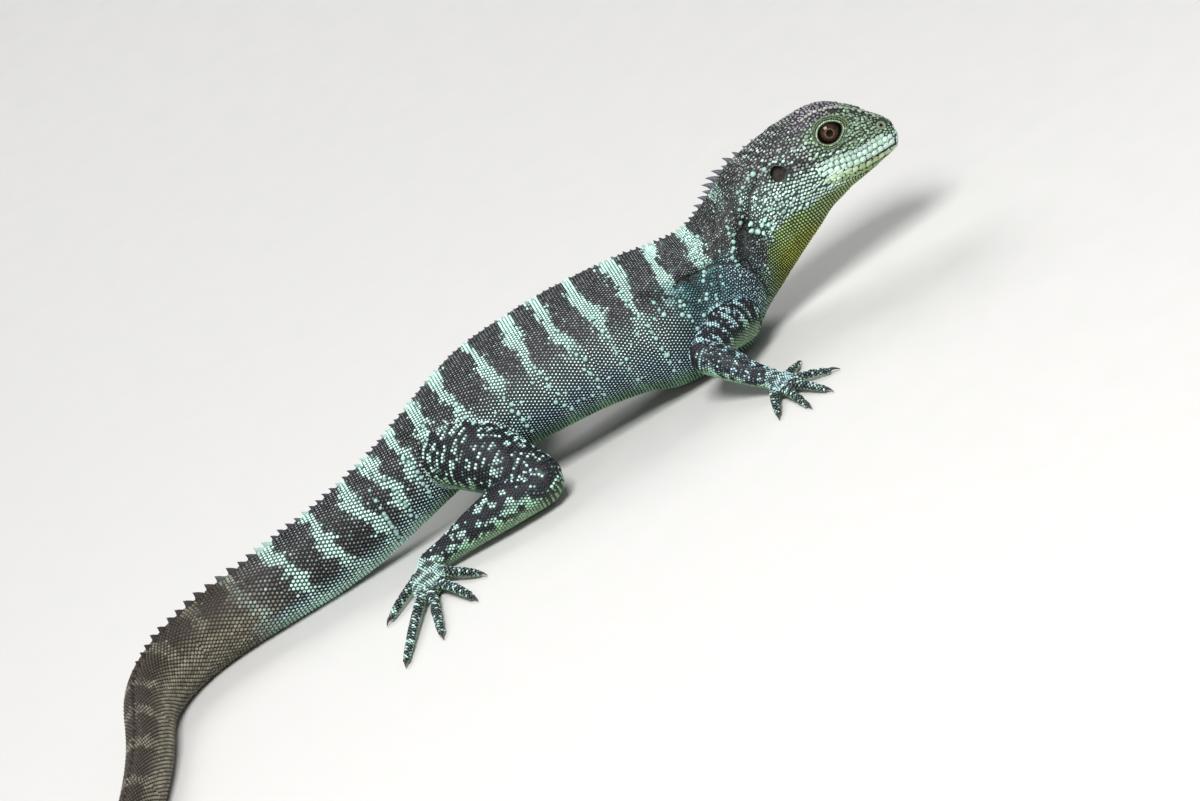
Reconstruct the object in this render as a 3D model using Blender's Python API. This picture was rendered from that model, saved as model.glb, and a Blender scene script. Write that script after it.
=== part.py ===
"""A life-size still model of an eastern water dragon, lying on a flat floor.

The animal faces +X, its back is up (+Z), and the floor is z = 0. The origin is on the floor, under
the chest, where the keel of the chest touches it. Sizes below are in millimetres, and MM turns them
into Blender's metres. The trunk, neck, head and tail are one loft that is parted at flat sections,
and each limb is lofted along its bones and cut clear of the part that carries it.
"""

import math

import bmesh
import bpy
import numpy as np

MM = 0.001
GAP = 0.3  # clearance between two parts that meet
SEED = 11

# Driving dimensions of the body, in millimetres.
ROLL_AXIS_Z = 30.0  # the body leans about a line at this height
TRUNK_ROLL = math.radians(4.0)
HEAD_ROLL = math.radians(10.0)
TAIL_START_X = -184.0  # where the straight part of the tail ends
TAIL_START_TOP = 29.4
TAIL_START_WIDTH = 10.9
TAIL_BEND_RADIUS = 54.0
TAIL_BEND = math.radians(84.0)
TAIL_REST_LENGTH = 276.0
TAIL_REST_TURN = math.radians(-52.0)
TAIL_TIP_HEIGHT = 3.0
SINK = 0.35  # how far a resting part is lofted under the floor before it is cut flat

# Stations of the body from snout to tail: top point x, z; bottom point x, z; half width;
# height of the widest level as a share; upper and lower roundness (2 is an ellipse).
STATIONS = (
    (110.3, 45.4, 109.9, 38.3, 4.4, 0.50, 2.0, 2.0),
    (108.4, 49.0, 107.8, 35.3, 6.5, 0.48, 2.1, 2.1),
    (104.8, 52.8, 105.0, 34.5, 8.0, 0.46, 2.2, 2.1),
    (101.6, 56.2, 102.0, 34.0, 9.0, 0.45, 2.3, 2.1),
    (98.5, 59.8, 99.0, 33.3, 9.9, 0.44, 2.4, 2.0),
    (95.3, 62.8, 95.5, 32.6, 10.9, 0.44, 2.5, 2.0),
    (90.5, 65.6, 91.0, 31.9, 12.0, 0.44, 2.5, 2.0),
    (84.5, 66.8, 86.0, 31.3, 13.1, 0.43, 2.5, 2.0),
    (78.0, 66.9, 81.0, 29.9, 14.3, 0.44, 2.4, 1.9),
    (70.0, 66.7, 75.0, 28.2, 15.2, 0.46, 2.2, 1.9),
    (60.0, 65.4, 67.7, 24.5, 14.8, 0.50, 2.0, 1.9),
    (47.5, 62.6, 57.0, 19.3, 13.6, 0.50, 1.9, 1.9),
    (35.0, 56.2, 45.6, 13.6, 14.4, 0.47, 1.9, 2.0),
    (24.0, 51.6, 33.4, 7.2, 17.8, 0.44, 1.9, 2.1),
    (15.0, 51.9, 23.5, -0.1, 20.8, 0.43, 1.9, 2.2),
    (8.0, 53.0, 11.0, -0.5, 22.5, 0.43, 1.9, 2.2),
    (0.0, 54.8, 0.0, -0.5, 24.0, 0.43, 1.9, 2.2),
    (-10.0, 56.4, -10.0, 1.4, 25.2, 0.43, 1.9, 2.2),
    (-20.0, 57.4, -20.0, 5.6, 26.0, 0.43, 1.9, 2.2),
    (-35.0, 58.4, -35.0, 9.0, 26.6, 0.42, 1.9, 2.2),
    (-53.0, 58.3, -53.0, 10.8, 26.2, 0.42, 1.9, 2.2),
    (-70.0, 57.3, -70.0, 11.6, 24.4, 0.43, 1.9, 2.1),
    (-82.0, 54.8, -82.0, 12.0, 21.8, 0.44, 1.9, 2.0),
    (-92.0, 51.6, -92.0, 11.8, 19.0, 0.46, 1.9, 2.0),
    (-104.0, 47.0, -104.0, 9.6, 16.6, 0.47, 1.9, 2.0),
    (-119.0, 41.4, -119.0, 5.8, 14.6, 0.48, 1.9, 2.0),
    (-138.0, 36.2, -138.0, 1.7, 13.0, 0.48, 1.9, 2.0),
    (-156.0, 33.2, -156.0, -0.2, 12.0, 0.48, 1.9, 2.0),
    (-171.0, 31.2, -171.0, -SINK, 11.4, 0.48, 1.9, 2.0),
    (TAIL_START_X, TAIL_START_TOP, TAIL_START_X, -SINK, TAIL_START_WIDTH, 0.48, 1.9, 2.0),
)
# Where the loft is parted, as station numbers. The bent tail takes TAIL_STATIONS more after the last row.
HEAD_END = 12.0  # at the fold of skin before the shoulder
NECK_END = 13.6
BELLY_START = 19.2  # the trunk is parted here, where the belly rises off the floor
TORSO_END = 24.8
TAIL_STATIONS = 26
TAIL_CUTS = (29.0, 32.3, 35.7, 42.1, 48.6)
TAIL_END = 29.0 + TAIL_STATIONS
TAIL_RINGS = (9, 8, 8, 8, 8, 8)  # rings and sides of each length of the tail
TAIL_SIDES = (18, 16, 16, 14, 12, 10)

# The face. Points are given before the head is rolled, on its right side (y is negative there).
EYE_CENTRE = (88.1, 7.4, 54.8)
EYE_RADIUS = 5.3
EYE_CUT_DEPTH = 3.6  # the ball is cut flat this far behind its centre
LID_RADII = (7.2, 5.9, 6.6)  # the mound of skin round the eye
LID_OPENING = (4.5, 3.6)  # half length and half height of the opening
EAR_CENTRE = (63.6, 15.8, 51.7)
EAR_RADIUS = (3.5, 3.4, 3.9)
NOSTRIL_CENTRE = (106.9, 5.6, 46.4)
NOSTRIL_RADIUS = 0.75
MOUTH_LINE = ((113.0, 36.4), (108.7, 37.2), (101.7, 38.5), (94.5, 39.1), (89.8, 39.5), (84.3, 40.9),
              (79.9, 42.5), (75.5, 43.2))
MOUTH_WIDTH = 0.55
MOUTH_DEPTH = 0.8
# The brow's points and its radius there.
BROW_LINE = ((77.0, 8.0, 62.6, 0.8), (82.0, 8.5, 63.2, 1.3), (86.0, 8.8, 63.3, 1.5), (90.5, 8.8, 62.5, 1.5),
             (94.5, 8.2, 60.8, 1.4), (98.0, 7.4, 58.2, 1.3), (102.0, 6.4, 54.5, 1.1), (106.0, 5.3, 50.0, 0.7))

# The limbs: joint centres x, y, z on the right side, then the two half thicknesses there.
RIGHT_ARM = {
    "upper_arm": ((23.0, -15.0, 16.0, 9.0, 10.5), (15.0, -28.0, 18.5, 7.4, 8.4), (4.5, -41.0, 19.6, 6.2, 6.4)),
    "forearm": ((5.0, -41.0, 19.4, 6.0, 6.2), (9.5, -48.0, 15.6, 6.6, 6.6), (15.5, -56.0, 9.6, 5.2, 4.8),
                (21.5, -62.5, 5.2, 4.6, 3.6)),
}
LEFT_ARM = {
    "upper_arm": ((23.0, 15.0, 16.0, 9.0, 10.5), (14.0, 28.0, 18.5, 7.4, 8.4), (2.0, 39.5, 18.8, 6.2, 6.4)),
    "forearm": ((2.5, 39.5, 18.6, 6.0, 6.2), (6.0, 46.5, 15.0, 6.6, 6.6), (11.0, 54.5, 9.2, 5.2, 4.8),
                (16.0, 61.0, 5.2, 4.6, 3.6)),
}
RIGHT_LEG = {
    "thigh": ((-95.0, -8.0, 29.0, 14.5, 14.0), (-86.0, -22.0, 24.5, 14.0, 13.5), (-77.0, -34.0, 17.0, 11.4, 11.2),
              (-70.5, -41.5, 10.4, 8.4, 8.4)),
    "shank": ((-71.5, -41.5, 10.2, 8.2, 8.2), (-84.0, -41.5, 10.4, 9.0, 8.8), (-100.0, -40.6, 8.8, 7.4, 7.2),
              (-114.0, -39.8, 6.6, 5.4, 5.2), (-123.0, -39.6, 5.6, 4.8, 4.6)),
}
LEFT_LEG = {
    "thigh": ((-95.0, 8.0, 29.0, 14.5, 14.0), (-85.0, 22.0, 24.5, 14.0, 13.5), (-74.0, 33.0, 17.0, 11.4, 11.2),
              (-66.0, 39.5, 10.4, 8.4, 8.4)),
    "shank": ((-67.0, 39.8, 10.2, 8.2, 8.2), (-79.0, 42.0, 10.4, 9.0, 8.8), (-94.0, 45.5, 8.8, 7.4, 7.2),
              (-107.0, 48.5, 6.6, 5.4, 5.2), (-115.0, 50.0, 5.6, 4.8, 4.6)),
}
# A hand or foot: wrist or ankle x, y; heading of the middle toe; each digit's turn from it (towards
# the body is positive), its root's distance along and across the palm, its length and its radius.
HAND_RADIUS = 2.05
FOOT_RADIUS = 2.3
HAND_DIGITS = ((124.0, 3.0, 3.4, 12.0), (36.0, 7.0, 2.6, 16.0), (3.0, 9.0, 0.4, 22.0), (-14.0, 8.0, -2.4, 23.0),
               (-35.0, 4.0, -4.0, 18.5))
FOOT_DIGITS = ((52.0, 9.0, 5.2, 20.0), (33.0, 15.0, 4.0, 29.0), (10.0, 18.0, 1.4, 41.0), (-4.0, 16.0, -1.8, 52.0),
               (-28.0, 1.0, -4.6, 25.0))
CLAW_LENGTH = 4.2
DOME_ANGLES = (32, 68)  # the rings of a round end, in degrees

# The crest: spine height along the back, as station number and height.
CREST_HEIGHTS = ((9.6, 1.2), (10.3, 2.6), (11.2, 3.3), (12.2, 3.2), (13.2, 2.4), (14.5, 1.5), (19.0, 1.3),
                 (23.5, 1.5), (25.5, 2.0), (30.0, 2.0), (40.0, 1.5), (50.0, 0.9))
CREST_SPACING = ((9.6, 3.4), (13.2, 3.9), (14.5, 5.2), (24.0, 5.4), (40.0, 6.4), (51.0, 6.4))
CREST_END = 52.0  # past this station the tail is too thin for spines
CREST_LEAN = 0.55  # how far a tip leans back, as a share of its height
JAW_SPINES = ((51.0, 13.2, 41.4, 2.0), (47.2, 13.2, 39.4, 2.3), (50.6, 13.2, 37.0, 2.4), (47.6, 12.9, 34.8, 2.1),
              (54.0, 13.1, 38.6, 1.7), (51.4, 12.8, 33.0, 1.8))

COLOURS = {
    "head": (0.30, 0.36, 0.32), "neck": (0.24, 0.32, 0.26), "torso": (0.20, 0.30, 0.30),
    "tail": (0.20, 0.21, 0.19), "arm": (0.13, 0.16, 0.16), "leg": (0.13, 0.16, 0.15),
    "eye": (0.22, 0.11, 0.05),
}
SKIN_ROUGHNESS = 0.55
EYE_ROUGHNESS = 0.08


def clear_scene():
    """Remove every object that the scene starts with."""
    for obj in list(bpy.data.objects):
        bpy.data.objects.remove(obj, do_unlink=True)


def spline(rows, where):
    """A smooth curve through the rows, read at the row numbers in where (Catmull-Rom)."""
    rows = np.asarray(rows, float)
    ends = np.vstack([2 * rows[0] - rows[1], rows, 2 * rows[-1] - rows[-2]])
    where = np.clip(np.asarray(where, float), 0, len(rows) - 1)
    k = np.minimum(where.astype(int), len(rows) - 2)
    t = (where - k)[:, None]
    a, b, c, d = ends[k], ends[k + 1], ends[k + 2], ends[k + 3]
    return 0.5 * (2 * b + (c - a) * t + (2 * a - 5 * b + 4 * c - d) * t**2 + (3 * b - a - 3 * c + d) * t**3)


def ramp(low, high, x):
    """0 below low, 1 above high, and a smooth step between them."""
    t = np.clip((x - low) / (high - low), 0, 1)
    return t * t * (3 - 2 * t)


def roll_body(points):
    """Lean each section away from -Y: the trunk a little and the head more."""
    x, y, z = points.T
    angle = TRUNK_ROLL * ramp(-110, -50, x) + (HEAD_ROLL - TRUNK_ROLL) * ramp(0, 60, x)
    up = z - ROLL_AXIS_Z
    return np.stack([x, y * np.cos(angle) + up * np.sin(angle),
                     ROLL_AXIS_Z - y * np.sin(angle) + up * np.cos(angle)], axis=1)


def tail_frame(s):
    """The bent tail's centre (x, y) and heading, s millimetres past the straight part."""
    arc = TAIL_BEND_RADIUS * TAIL_BEND
    total = arc + TAIL_REST_LENGTH
    steps = np.linspace(0, total, 600)
    rest = np.clip((steps - arc) / TAIL_REST_LENGTH, 0, 1)
    turn = TAIL_BEND * ramp(0, arc * 1.15, steps) + TAIL_REST_TURN * rest
    step = steps[1]
    x = TAIL_START_X - np.concatenate([[0], np.cumsum(np.cos(turn[:-1]) * step)])
    y = -np.concatenate([[0], np.cumsum(np.sin(turn[:-1]) * step)])
    return np.interp(s, steps, x), np.interp(s, steps, y), np.interp(s, steps, turn), total


def body_sections(where, grow=0.0):
    """Section values at station numbers: top, bottom, side vector, half width, widest level, roundness."""
    where = np.asarray(where, float)
    last = len(STATIONS) - 1
    rows = spline(STATIONS, np.minimum(where, last))
    top = np.stack([rows[:, 0], np.zeros(len(where)), rows[:, 1]], axis=1)
    bottom = np.stack([rows[:, 2], np.zeros(len(where)), rows[:, 3]], axis=1)
    side = np.tile([0.0, 1.0, 0.0], (len(where), 1))
    width, level, upper, lower = rows[:, 4:].T.copy()
    share = np.clip((where - last) / TAIL_STATIONS, 0, 1)
    length = tail_frame(0.0)[3]
    x, y, turn, _ = tail_frame(share * length)
    taper = (1 - share) ** 0.92
    height = TAIL_TIP_HEIGHT + (TAIL_START_TOP - TAIL_TIP_HEIGHT) * taper
    bent = where > last
    top[bent] = np.stack([x, y, height], axis=1)[bent]
    bottom[bent] = np.stack([x, y, np.full(len(where), -SINK)], axis=1)[bent]
    side[bent] = np.stack([np.sin(turn), -np.cos(turn), 0 * turn], axis=1)[bent] * -1
    width[bent] = ((1.1 + (TAIL_START_WIDTH - 1.1) * taper**1.05))[bent]
    up = top - bottom
    up /= np.linalg.norm(up, axis=1)[:, None]
    return top + grow * up, bottom - grow * up, side, width + grow, level, upper, lower


def body_rings(where, sides, grow=0.0):
    """Rings of the loft: a superellipse between the top and bottom points of each section."""
    top, bottom, side, width, level, upper, lower = body_sections(where, grow)
    t = (np.arange(sides) + 0.5) * 2 * np.pi / sides
    cos, sin = np.cos(t)[None, :], np.sin(t)[None, :]
    power = 2 / np.where(cos > 0, upper[:, None], lower[:, None])
    across = width[:, None] * np.sign(sin) * np.abs(sin) ** power
    reach = np.where(cos > 0, 1 - level[:, None], level[:, None])
    along = level[:, None] + reach * np.sign(cos) * np.abs(cos) ** power
    rings = bottom[:, None, :] + along[:, :, None] * (top - bottom)[:, None, :] + across[:, :, None] * side[:, None, :]
    return rings


def make_object(name, points, faces):
    """A mesh object from points in millimetres, facing out."""
    mesh = bpy.data.meshes.new(name)
    mesh.from_pydata((np.asarray(points) * MM).tolist(), [], faces)
    form = bmesh.new()
    form.from_mesh(mesh)
    bmesh.ops.recalc_face_normals(form, faces=form.faces)
    form.to_mesh(mesh)
    form.free()
    obj = bpy.data.objects.new(name, mesh)
    bpy.context.scene.collection.objects.link(obj)
    return obj


def loft(name, rings):
    """A closed skin over rings of equal count, with a fan over each end."""
    rings = np.asarray(rings)
    count, sides = rings.shape[:2]
    points = np.vstack([rings.reshape(-1, 3), rings[0].mean(axis=0), rings[-1].mean(axis=0)])
    faces = []
    for i in range(count - 1):
        for j in range(sides):
            k = (j + 1) % sides
            faces.append((i * sides + j, i * sides + k, (i + 1) * sides + k, (i + 1) * sides + j))
    first, last = count * sides, count * sides + 1
    for j in range(sides):
        k = (j + 1) % sides
        faces.append((first, k, j))
        faces.append((last, (count - 1) * sides + j, (count - 1) * sides + k))
    return make_object(name, points, faces)


def body_part(name, start, end, rings, sides, grow=0.0):
    """One length of the body's loft, already rolled."""
    where = np.linspace(start, end, rings)
    shape = body_rings(where, sides, grow)
    return loft(name, roll_body(shape.reshape(-1, 3)).reshape(shape.shape))


def gap_at(station):
    """How many stations make half of GAP there."""
    tops = body_sections([station - 0.05, station + 0.05])[0]
    return 0.5 * GAP * 0.1 / np.linalg.norm(tops[1] - tops[0])


def limb_rings(joints, sides=12, per_bone=2, grow=0.0, dome_start=True, dome_end=True):
    """Elliptic rings along the joints, with a round end where asked."""
    joints = np.asarray(joints, float)
    where = np.linspace(0, len(joints) - 1, (len(joints) - 1) * per_bone + 1)
    rows = spline(joints, where)
    path, wide, high = rows[:, :3], rows[:, 3] + grow, rows[:, 4] + grow
    ahead = np.gradient(path, axis=0)
    ahead /= np.linalg.norm(ahead, axis=1)[:, None]
    side = np.cross(ahead, [0.0, 0.0, 1.0])
    side /= np.linalg.norm(side, axis=1)[:, None]
    up = np.cross(side, ahead)
    t = (np.arange(sides) + 0.5) * 2 * np.pi / sides

    def ring(centre, i, scale):
        return centre + scale * (np.cos(t)[:, None] * side[i] * wide[i] + np.sin(t)[:, None] * up[i] * high[i])

    rings = []
    if dome_start:
        for angle in reversed(DOME_ANGLES):
            turn = math.radians(angle)
            rings.append(ring(path[0] - ahead[0] * high[0] * math.sin(turn), 0, math.cos(turn)))
    for i in range(len(path)):
        rings.append(ring(path[i], i, 1.0))
    if dome_end:
        for angle in DOME_ANGLES:
            turn = math.radians(angle)
            rings.append(ring(path[-1] + ahead[-1] * high[-1] * math.sin(turn), -1, math.cos(turn)))
    return np.array(rings)


def apply_modifiers(obj):
    """Bake the object's modifiers into its mesh."""
    graph = bpy.context.evaluated_depsgraph_get()
    mesh = bpy.data.meshes.new_from_object(obj.evaluated_get(graph))
    obj.modifiers.clear()
    obj.data = mesh


def boolean(obj, others, operation):
    """Join or cut the object by the others, then remove them.

    The solver is MANIFOLD, because EXACT leaves open edges where a spine's root crosses the loft.
    """
    group = bpy.data.collections.new(obj.name + "_tools")
    bpy.context.scene.collection.children.link(group)
    for other in others:
        for owner in list(other.users_collection):
            owner.objects.unlink(other)
        group.objects.link(other)
    step = obj.modifiers.new("boolean", "BOOLEAN")
    step.operation = operation
    step.operand_type = "COLLECTION"
    step.collection = group
    step.solver = "MANIFOLD"
    apply_modifiers(obj)
    for other in others:
        bpy.data.objects.remove(other, do_unlink=True)
    bpy.data.collections.remove(group)


def keep_largest(obj):
    """Drop every closed surface but the largest, and split what is left into triangles."""
    form = bmesh.new()
    form.from_mesh(obj.data)
    left = set(form.faces)
    islands = []
    while left:
        stack = [left.pop()]
        island = list(stack)
        while stack:
            face = stack.pop()
            for edge in face.edges:
                for other in edge.link_faces:
                    if other in left:
                        left.remove(other)
                        stack.append(other)
                        island.append(other)
        islands.append(island)
    islands.sort(key=lambda island: sum(face.calc_area() for face in island))
    for island in islands[:-1]:
        bmesh.ops.delete(form, geom=island, context="FACES")
    loose = [vert for vert in form.verts if not vert.link_faces]
    bmesh.ops.delete(form, geom=loose, context="VERTS")
    bmesh.ops.triangulate(form, faces=form.faces)
    form.to_mesh(obj.data)
    form.free()


def box(name, low, high):
    """A plain box between two corners."""
    corners = [(x, y, z) for x in (low[0], high[0]) for y in (low[1], high[1]) for z in (low[2], high[2])]
    faces = [(0, 1, 3, 2), (4, 6, 7, 5), (0, 4, 5, 1), (2, 3, 7, 6), (0, 2, 6, 4), (1, 5, 7, 3)]
    return make_object(name, corners, faces)


def cut_floor(obj):
    """Cut away what the loft put under the floor, which leaves the small flats it rests on."""
    boolean(obj, [box("floor_cut", (-600.0, -600.0, -30.0), (300.0, 300.0, 0.0))], "DIFFERENCE")


def spine(name, root, up, back, height, length):
    """A crest spine: a diamond root sunk in the skin, a waist, and a tip that leans back."""
    up = np.asarray(up, float)
    back = np.asarray(back, float)
    side = np.cross(up, back)
    root = np.asarray(root, float)
    rings = []
    for rise, size, lean in ((-1.6, 1.0, 0.0), (0.35 * height, 0.72, 0.25 * CREST_LEAN * height)):
        centre = root + up * rise + back * lean
        half = 0.5 * length * size
        thick = 0.36 * length * size
        rings.append([centre + back * half, centre + side * thick, centre - back * half, centre - side * thick])
    tip = root + up * height + back * CREST_LEAN * height
    points = np.vstack([rings[0], rings[1], [tip]])
    faces = [(3, 2, 1, 0)]
    for j in range(4):
        k = (j + 1) % 4
        faces.append((j, k, 4 + k, 4 + j))
        faces.append((4 + j, 4 + k, 8))
    return make_object(name, points, faces)


def crest(start, end, rng):
    """The spines along the ridge of the back between two stations."""
    heights = np.array(CREST_HEIGHTS)
    spacings = np.array(CREST_SPACING)
    found = []
    station = start
    while station < end:
        here = body_sections([station, station + 0.02])
        tops = here[0]
        step = np.linalg.norm(tops[1] - tops[0]) / 0.02
        height = np.interp(station, heights[:, 0], heights[:, 1]) * rng.uniform(0.85, 1.15)
        back = tops[1] - tops[0]
        back /= np.linalg.norm(back)
        up = np.cross(back, here[2][0])
        up *= np.sign(up[2])
        ends = np.array([tops[0], tops[0] + up, tops[0] + back])
        ends = roll_body(ends)
        length = 1.5 + 0.62 * height
        found.append(spine("spine", ends[0], ends[1] - ends[0], ends[2] - ends[0], height, length))
        station += np.interp(station, spacings[:, 0], spacings[:, 1]) * rng.uniform(0.92, 1.08) / step
    return found


def ball(name, centre, radius, across=20, rings=12):
    """A ball or an egg with its pole along Y."""
    radius = np.broadcast_to(np.asarray(radius, float), 3)
    up = np.linspace(0, np.pi, rings + 1)[1:-1]
    t = np.arange(across) * 2 * np.pi / across
    shape = np.stack([np.sin(up)[:, None] * np.cos(t), np.cos(up)[:, None] + 0 * t, np.sin(up)[:, None] * np.sin(t)],
                     axis=2)
    points = shape * radius + np.asarray(centre, float)
    ends = np.array([centre, centre], float)
    ends[0, 1] += radius[1]
    ends[1, 1] -= radius[1]
    points = np.vstack([points.reshape(-1, 3), ends])
    faces = []
    count = len(up)
    for i in range(count - 1):
        for j in range(across):
            k = (j + 1) % across
            faces.append((i * across + j, i * across + k, (i + 1) * across + k, (i + 1) * across + j))
    for j in range(across):
        k = (j + 1) % across
        faces.append((count * across, k, j))
        faces.append((count * across + 1, (count - 1) * across + j, (count - 1) * across + k))
    return make_object(name, roll_body(points), faces)


def opening_cutter(name, centre, half_sizes, side):
    """An elliptic funnel that opens the lids outwards from the eye's centre."""
    t = np.arange(16) * 2 * np.pi / 16
    rings = []
    for out, size in ((1.5, 0.94), (EYE_RADIUS, 1.0), (EYE_RADIUS + 5.0, 1.3)):
        rings.append(np.stack([centre[0] + half_sizes[0] * size * np.cos(t), centre[1] + side * out + 0 * t,
                               centre[2] + half_sizes[1] * size * np.sin(t)], axis=1))
    rings = np.array(rings)
    return loft(name, roll_body(rings.reshape(-1, 3)).reshape(rings.shape))


def mirrored(point, side):
    """A point of the face on the side asked: 1 is left and -1 is right."""
    return (point[0], point[1] * side, point[2])


def make_eye(name, side):
    """An eyeball, cut flat behind."""
    centre = mirrored(EYE_CENTRE, side)
    eye = ball(name, centre, EYE_RADIUS, 18, 10)
    flat = centre[1] - side * EYE_CUT_DEPTH
    low = (centre[0] - 9, min(flat, flat - side * 9), centre[2] - 9)
    high = (centre[0] + 9, max(flat, flat - side * 9), centre[2] + 9)
    cutter = box("eye_cut", low, high)
    roll_object(cutter)
    boolean(eye, [cutter], "DIFFERENCE")
    return eye


def roll_object(obj):
    """Roll a small tool with the head."""
    points = np.array([vert.co for vert in obj.data.vertices]) / MM
    for vert, place in zip(obj.data.vertices, roll_body(points) * MM):
        vert.co = place


def mouth_cutter():
    """A thin sheet along the line of the mouth, with the inside of the head taken out of it."""
    line = np.array(MOUTH_LINE)
    count = len(line)
    points = []
    for y in (-30.0, 30.0):
        for rise in (-0.5 * MOUTH_WIDTH, 0.5 * MOUTH_WIDTH):
            for x, z in line:
                points.append((x, y, z + rise))
    faces = []
    for i in range(count - 1):
        for a, b in ((0, 1), (1, 3), (3, 2), (2, 0)):
            faces.append((a * count + i, b * count + i, b * count + i + 1, a * count + i + 1))
    faces.append((0, count, 3 * count, 2 * count))
    faces.append(tuple(n * count + count - 1 for n in (0, 2, 3, 1)))
    sheet = make_object("mouth_cut", points, faces)
    roll_object(sheet)
    core = body_part("mouth_core", 0.25, HEAD_END + 2, 20, 20, grow=-MOUTH_DEPTH)
    boolean(sheet, [core], "DIFFERENCE")
    return sheet


def make_head(rng):
    """The head: its loft, brows, lids, jaw spines and nape spines, with eyes, ears, nostrils and mouth cut."""
    head = body_part("head", 0.0, HEAD_END - gap_at(HEAD_END), 28, 30)
    added = []
    cuts = [mouth_cutter()]
    for side in (-1, 1):
        brow = [mirrored(point, side) + (point[3], point[3]) for point in BROW_LINE]
        rings = limb_rings(brow, 8, 2)
        added.append(loft("brow", roll_body(rings.reshape(-1, 3)).reshape(rings.shape)))
        centre = mirrored(EYE_CENTRE, side)
        added.append(ball("lid", centre, LID_RADII, 18, 10))
        cuts.append(ball("socket", centre, EYE_RADIUS + GAP, 18, 10))
        cuts.append(opening_cutter("opening", centre, LID_OPENING, side))
        cuts.append(ball("ear", mirrored(EAR_CENTRE, side), EAR_RADIUS, 12, 8))
        cuts.append(ball("nostril", mirrored(NOSTRIL_CENTRE, side), (NOSTRIL_RADIUS, 1.3, NOSTRIL_RADIUS), 8, 6))
        for x, y, z, height in JAW_SPINES:
            place = roll_body(np.array([(x, side * y, z), (x, side * (y + 1), z - 0.25), (x - 1, side * y, z)]))
            out = place[1] - place[0]
            added.append(spine("jaw_spine", place[0], out / np.linalg.norm(out), place[2] - place[0], height, 2.4))
    added += crest(9.7, HEAD_END - 0.22, rng)
    boolean(head, added, "UNION")
    boolean(head, cuts, "DIFFERENCE")
    keep_largest(head)
    return head


def make_axial(name, start, end, rings, sides, rng, crest_range=None, rests=False):
    """A parted length of the body with its crest."""
    part = body_part(name, start + gap_at(start), end - (gap_at(end) if end < TAIL_END else 0.0), rings, sides)
    if crest_range:
        spines = crest(crest_range[0], crest_range[1], rng)
        boolean(part, spines, "UNION")
    if rests:
        cut_floor(part)
    keep_largest(part)
    return part


def make_limb(name, joints, carriers, sides=14, rests=False):
    """One bone's length of a limb, cut clear of what carries it."""
    limb = loft(name, limb_rings(joints, sides))
    boolean(limb, carriers, "DIFFERENCE")
    if rests:
        cut_floor(limb)
    keep_largest(limb)
    return limb


def digit(root, heading, length, radius):
    """A toe: a jointed tube that arches off the palm and down to the floor, and its claw."""
    along = np.array([math.cos(heading), math.sin(heading), 0.0])
    shape = ((0.0, 3.4, 1.15), (0.28, 3.2, 1.0), (0.55, 2.9, 0.92), (0.8, 2.2, 0.86), (1.0, 1.45, 0.74))
    rows = []
    for share, height, size in shape:
        place = np.array(root) + along * share * length
        rows.append((place[0], place[1], height * radius / 2.1, radius * size, radius * size * 0.92))
    toe = loft("toe", limb_rings(rows, 8, 1, dome_start=False))
    tip = np.array(rows[-1][:3])
    claw_rows = []
    for share, height, size in ((-0.3, 0.1, 0.55), (0.25, 0.35, 0.46), (0.62, 0.0, 0.28), (1.0, -0.95, 0.1)):
        place = tip + along * CLAW_LENGTH * share
        claw_rows.append((place[0], place[1], max(place[2] + height, 0.35), radius * size, radius * size))
    claw = loft("claw", limb_rings(claw_rows, 6, 1, dome_start=False, dome_end=False))
    return [toe, claw]


def make_paw(name, wrist, heading, side, digits, radius, palm_size, carriers):
    """A hand or foot: a flat palm and five clawed digits, resting on the floor."""
    along = np.array([math.cos(heading), math.sin(heading), 0.0])
    inward = np.array([-along[1], along[0], 0.0]) * (1 if side < 0 else -1)
    length, width = palm_size
    start = np.array([wrist[0], wrist[1], 4.6])
    rows = []
    for share, size, height, thick in ((-0.12, 0.62, 4.8, 4.2), (0.25, 0.82, 4.2, 4.0), (0.65, 1.0, 3.4, 3.5),
                                       (1.0, 0.78, 2.9, 3.0)):
        place = start + along * length * share
        rows.append((place[0], place[1], height, width * size, thick))
    palm = loft(name, limb_rings(rows, 12, 2))
    pieces = []
    for turn, forward, across, reach in digits:
        root = start + along * forward + inward * across
        angle = heading + math.radians(turn) * (1 if side < 0 else -1)
        pieces += digit(root, angle, reach, radius)
    boolean(palm, pieces, "UNION")
    boolean(palm, carriers, "DIFFERENCE")
    cut_floor(palm)
    keep_largest(palm)
    return palm


def torso_tool():
    """The trunk grown by the gap, to cut a limb's root."""
    return body_part("torso_tool", NECK_END - 3, TORSO_END + 5, 44, 28, grow=GAP)


def limb_tool(joints, sides=14):
    """A limb length grown by the gap, to cut the next one."""
    return loft("limb_tool", limb_rings(joints, sides, grow=GAP))


def make_limbs(side_name, side, arm, leg, hand_heading, foot_heading):
    """Both limbs of one side."""
    made = []
    made.append(make_limb("upper_arm_" + side_name, arm["upper_arm"], [torso_tool()], 12))
    made.append(make_limb("forearm_" + side_name, arm["forearm"], [limb_tool(arm["upper_arm"], 12)], 12))
    wrist = arm["forearm"][-1]
    made.append(make_paw("hand_" + side_name, wrist, hand_heading, side, HAND_DIGITS, HAND_RADIUS, (10.0, 5.6),
                         [limb_tool(arm["forearm"], 12)]))
    made.append(make_limb("thigh_" + side_name, leg["thigh"], [torso_tool()], 16, rests=True))
    made.append(make_limb("shank_" + side_name, leg["shank"], [limb_tool(leg["thigh"], 16)], 14, rests=True))
    ankle = leg["shank"][-1]
    made.append(make_paw("foot_" + side_name, ankle, foot_heading, side, FOOT_DIGITS, FOOT_RADIUS, (20.0, 7.4),
                         [limb_tool(leg["shank"])]))
    return made


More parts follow.
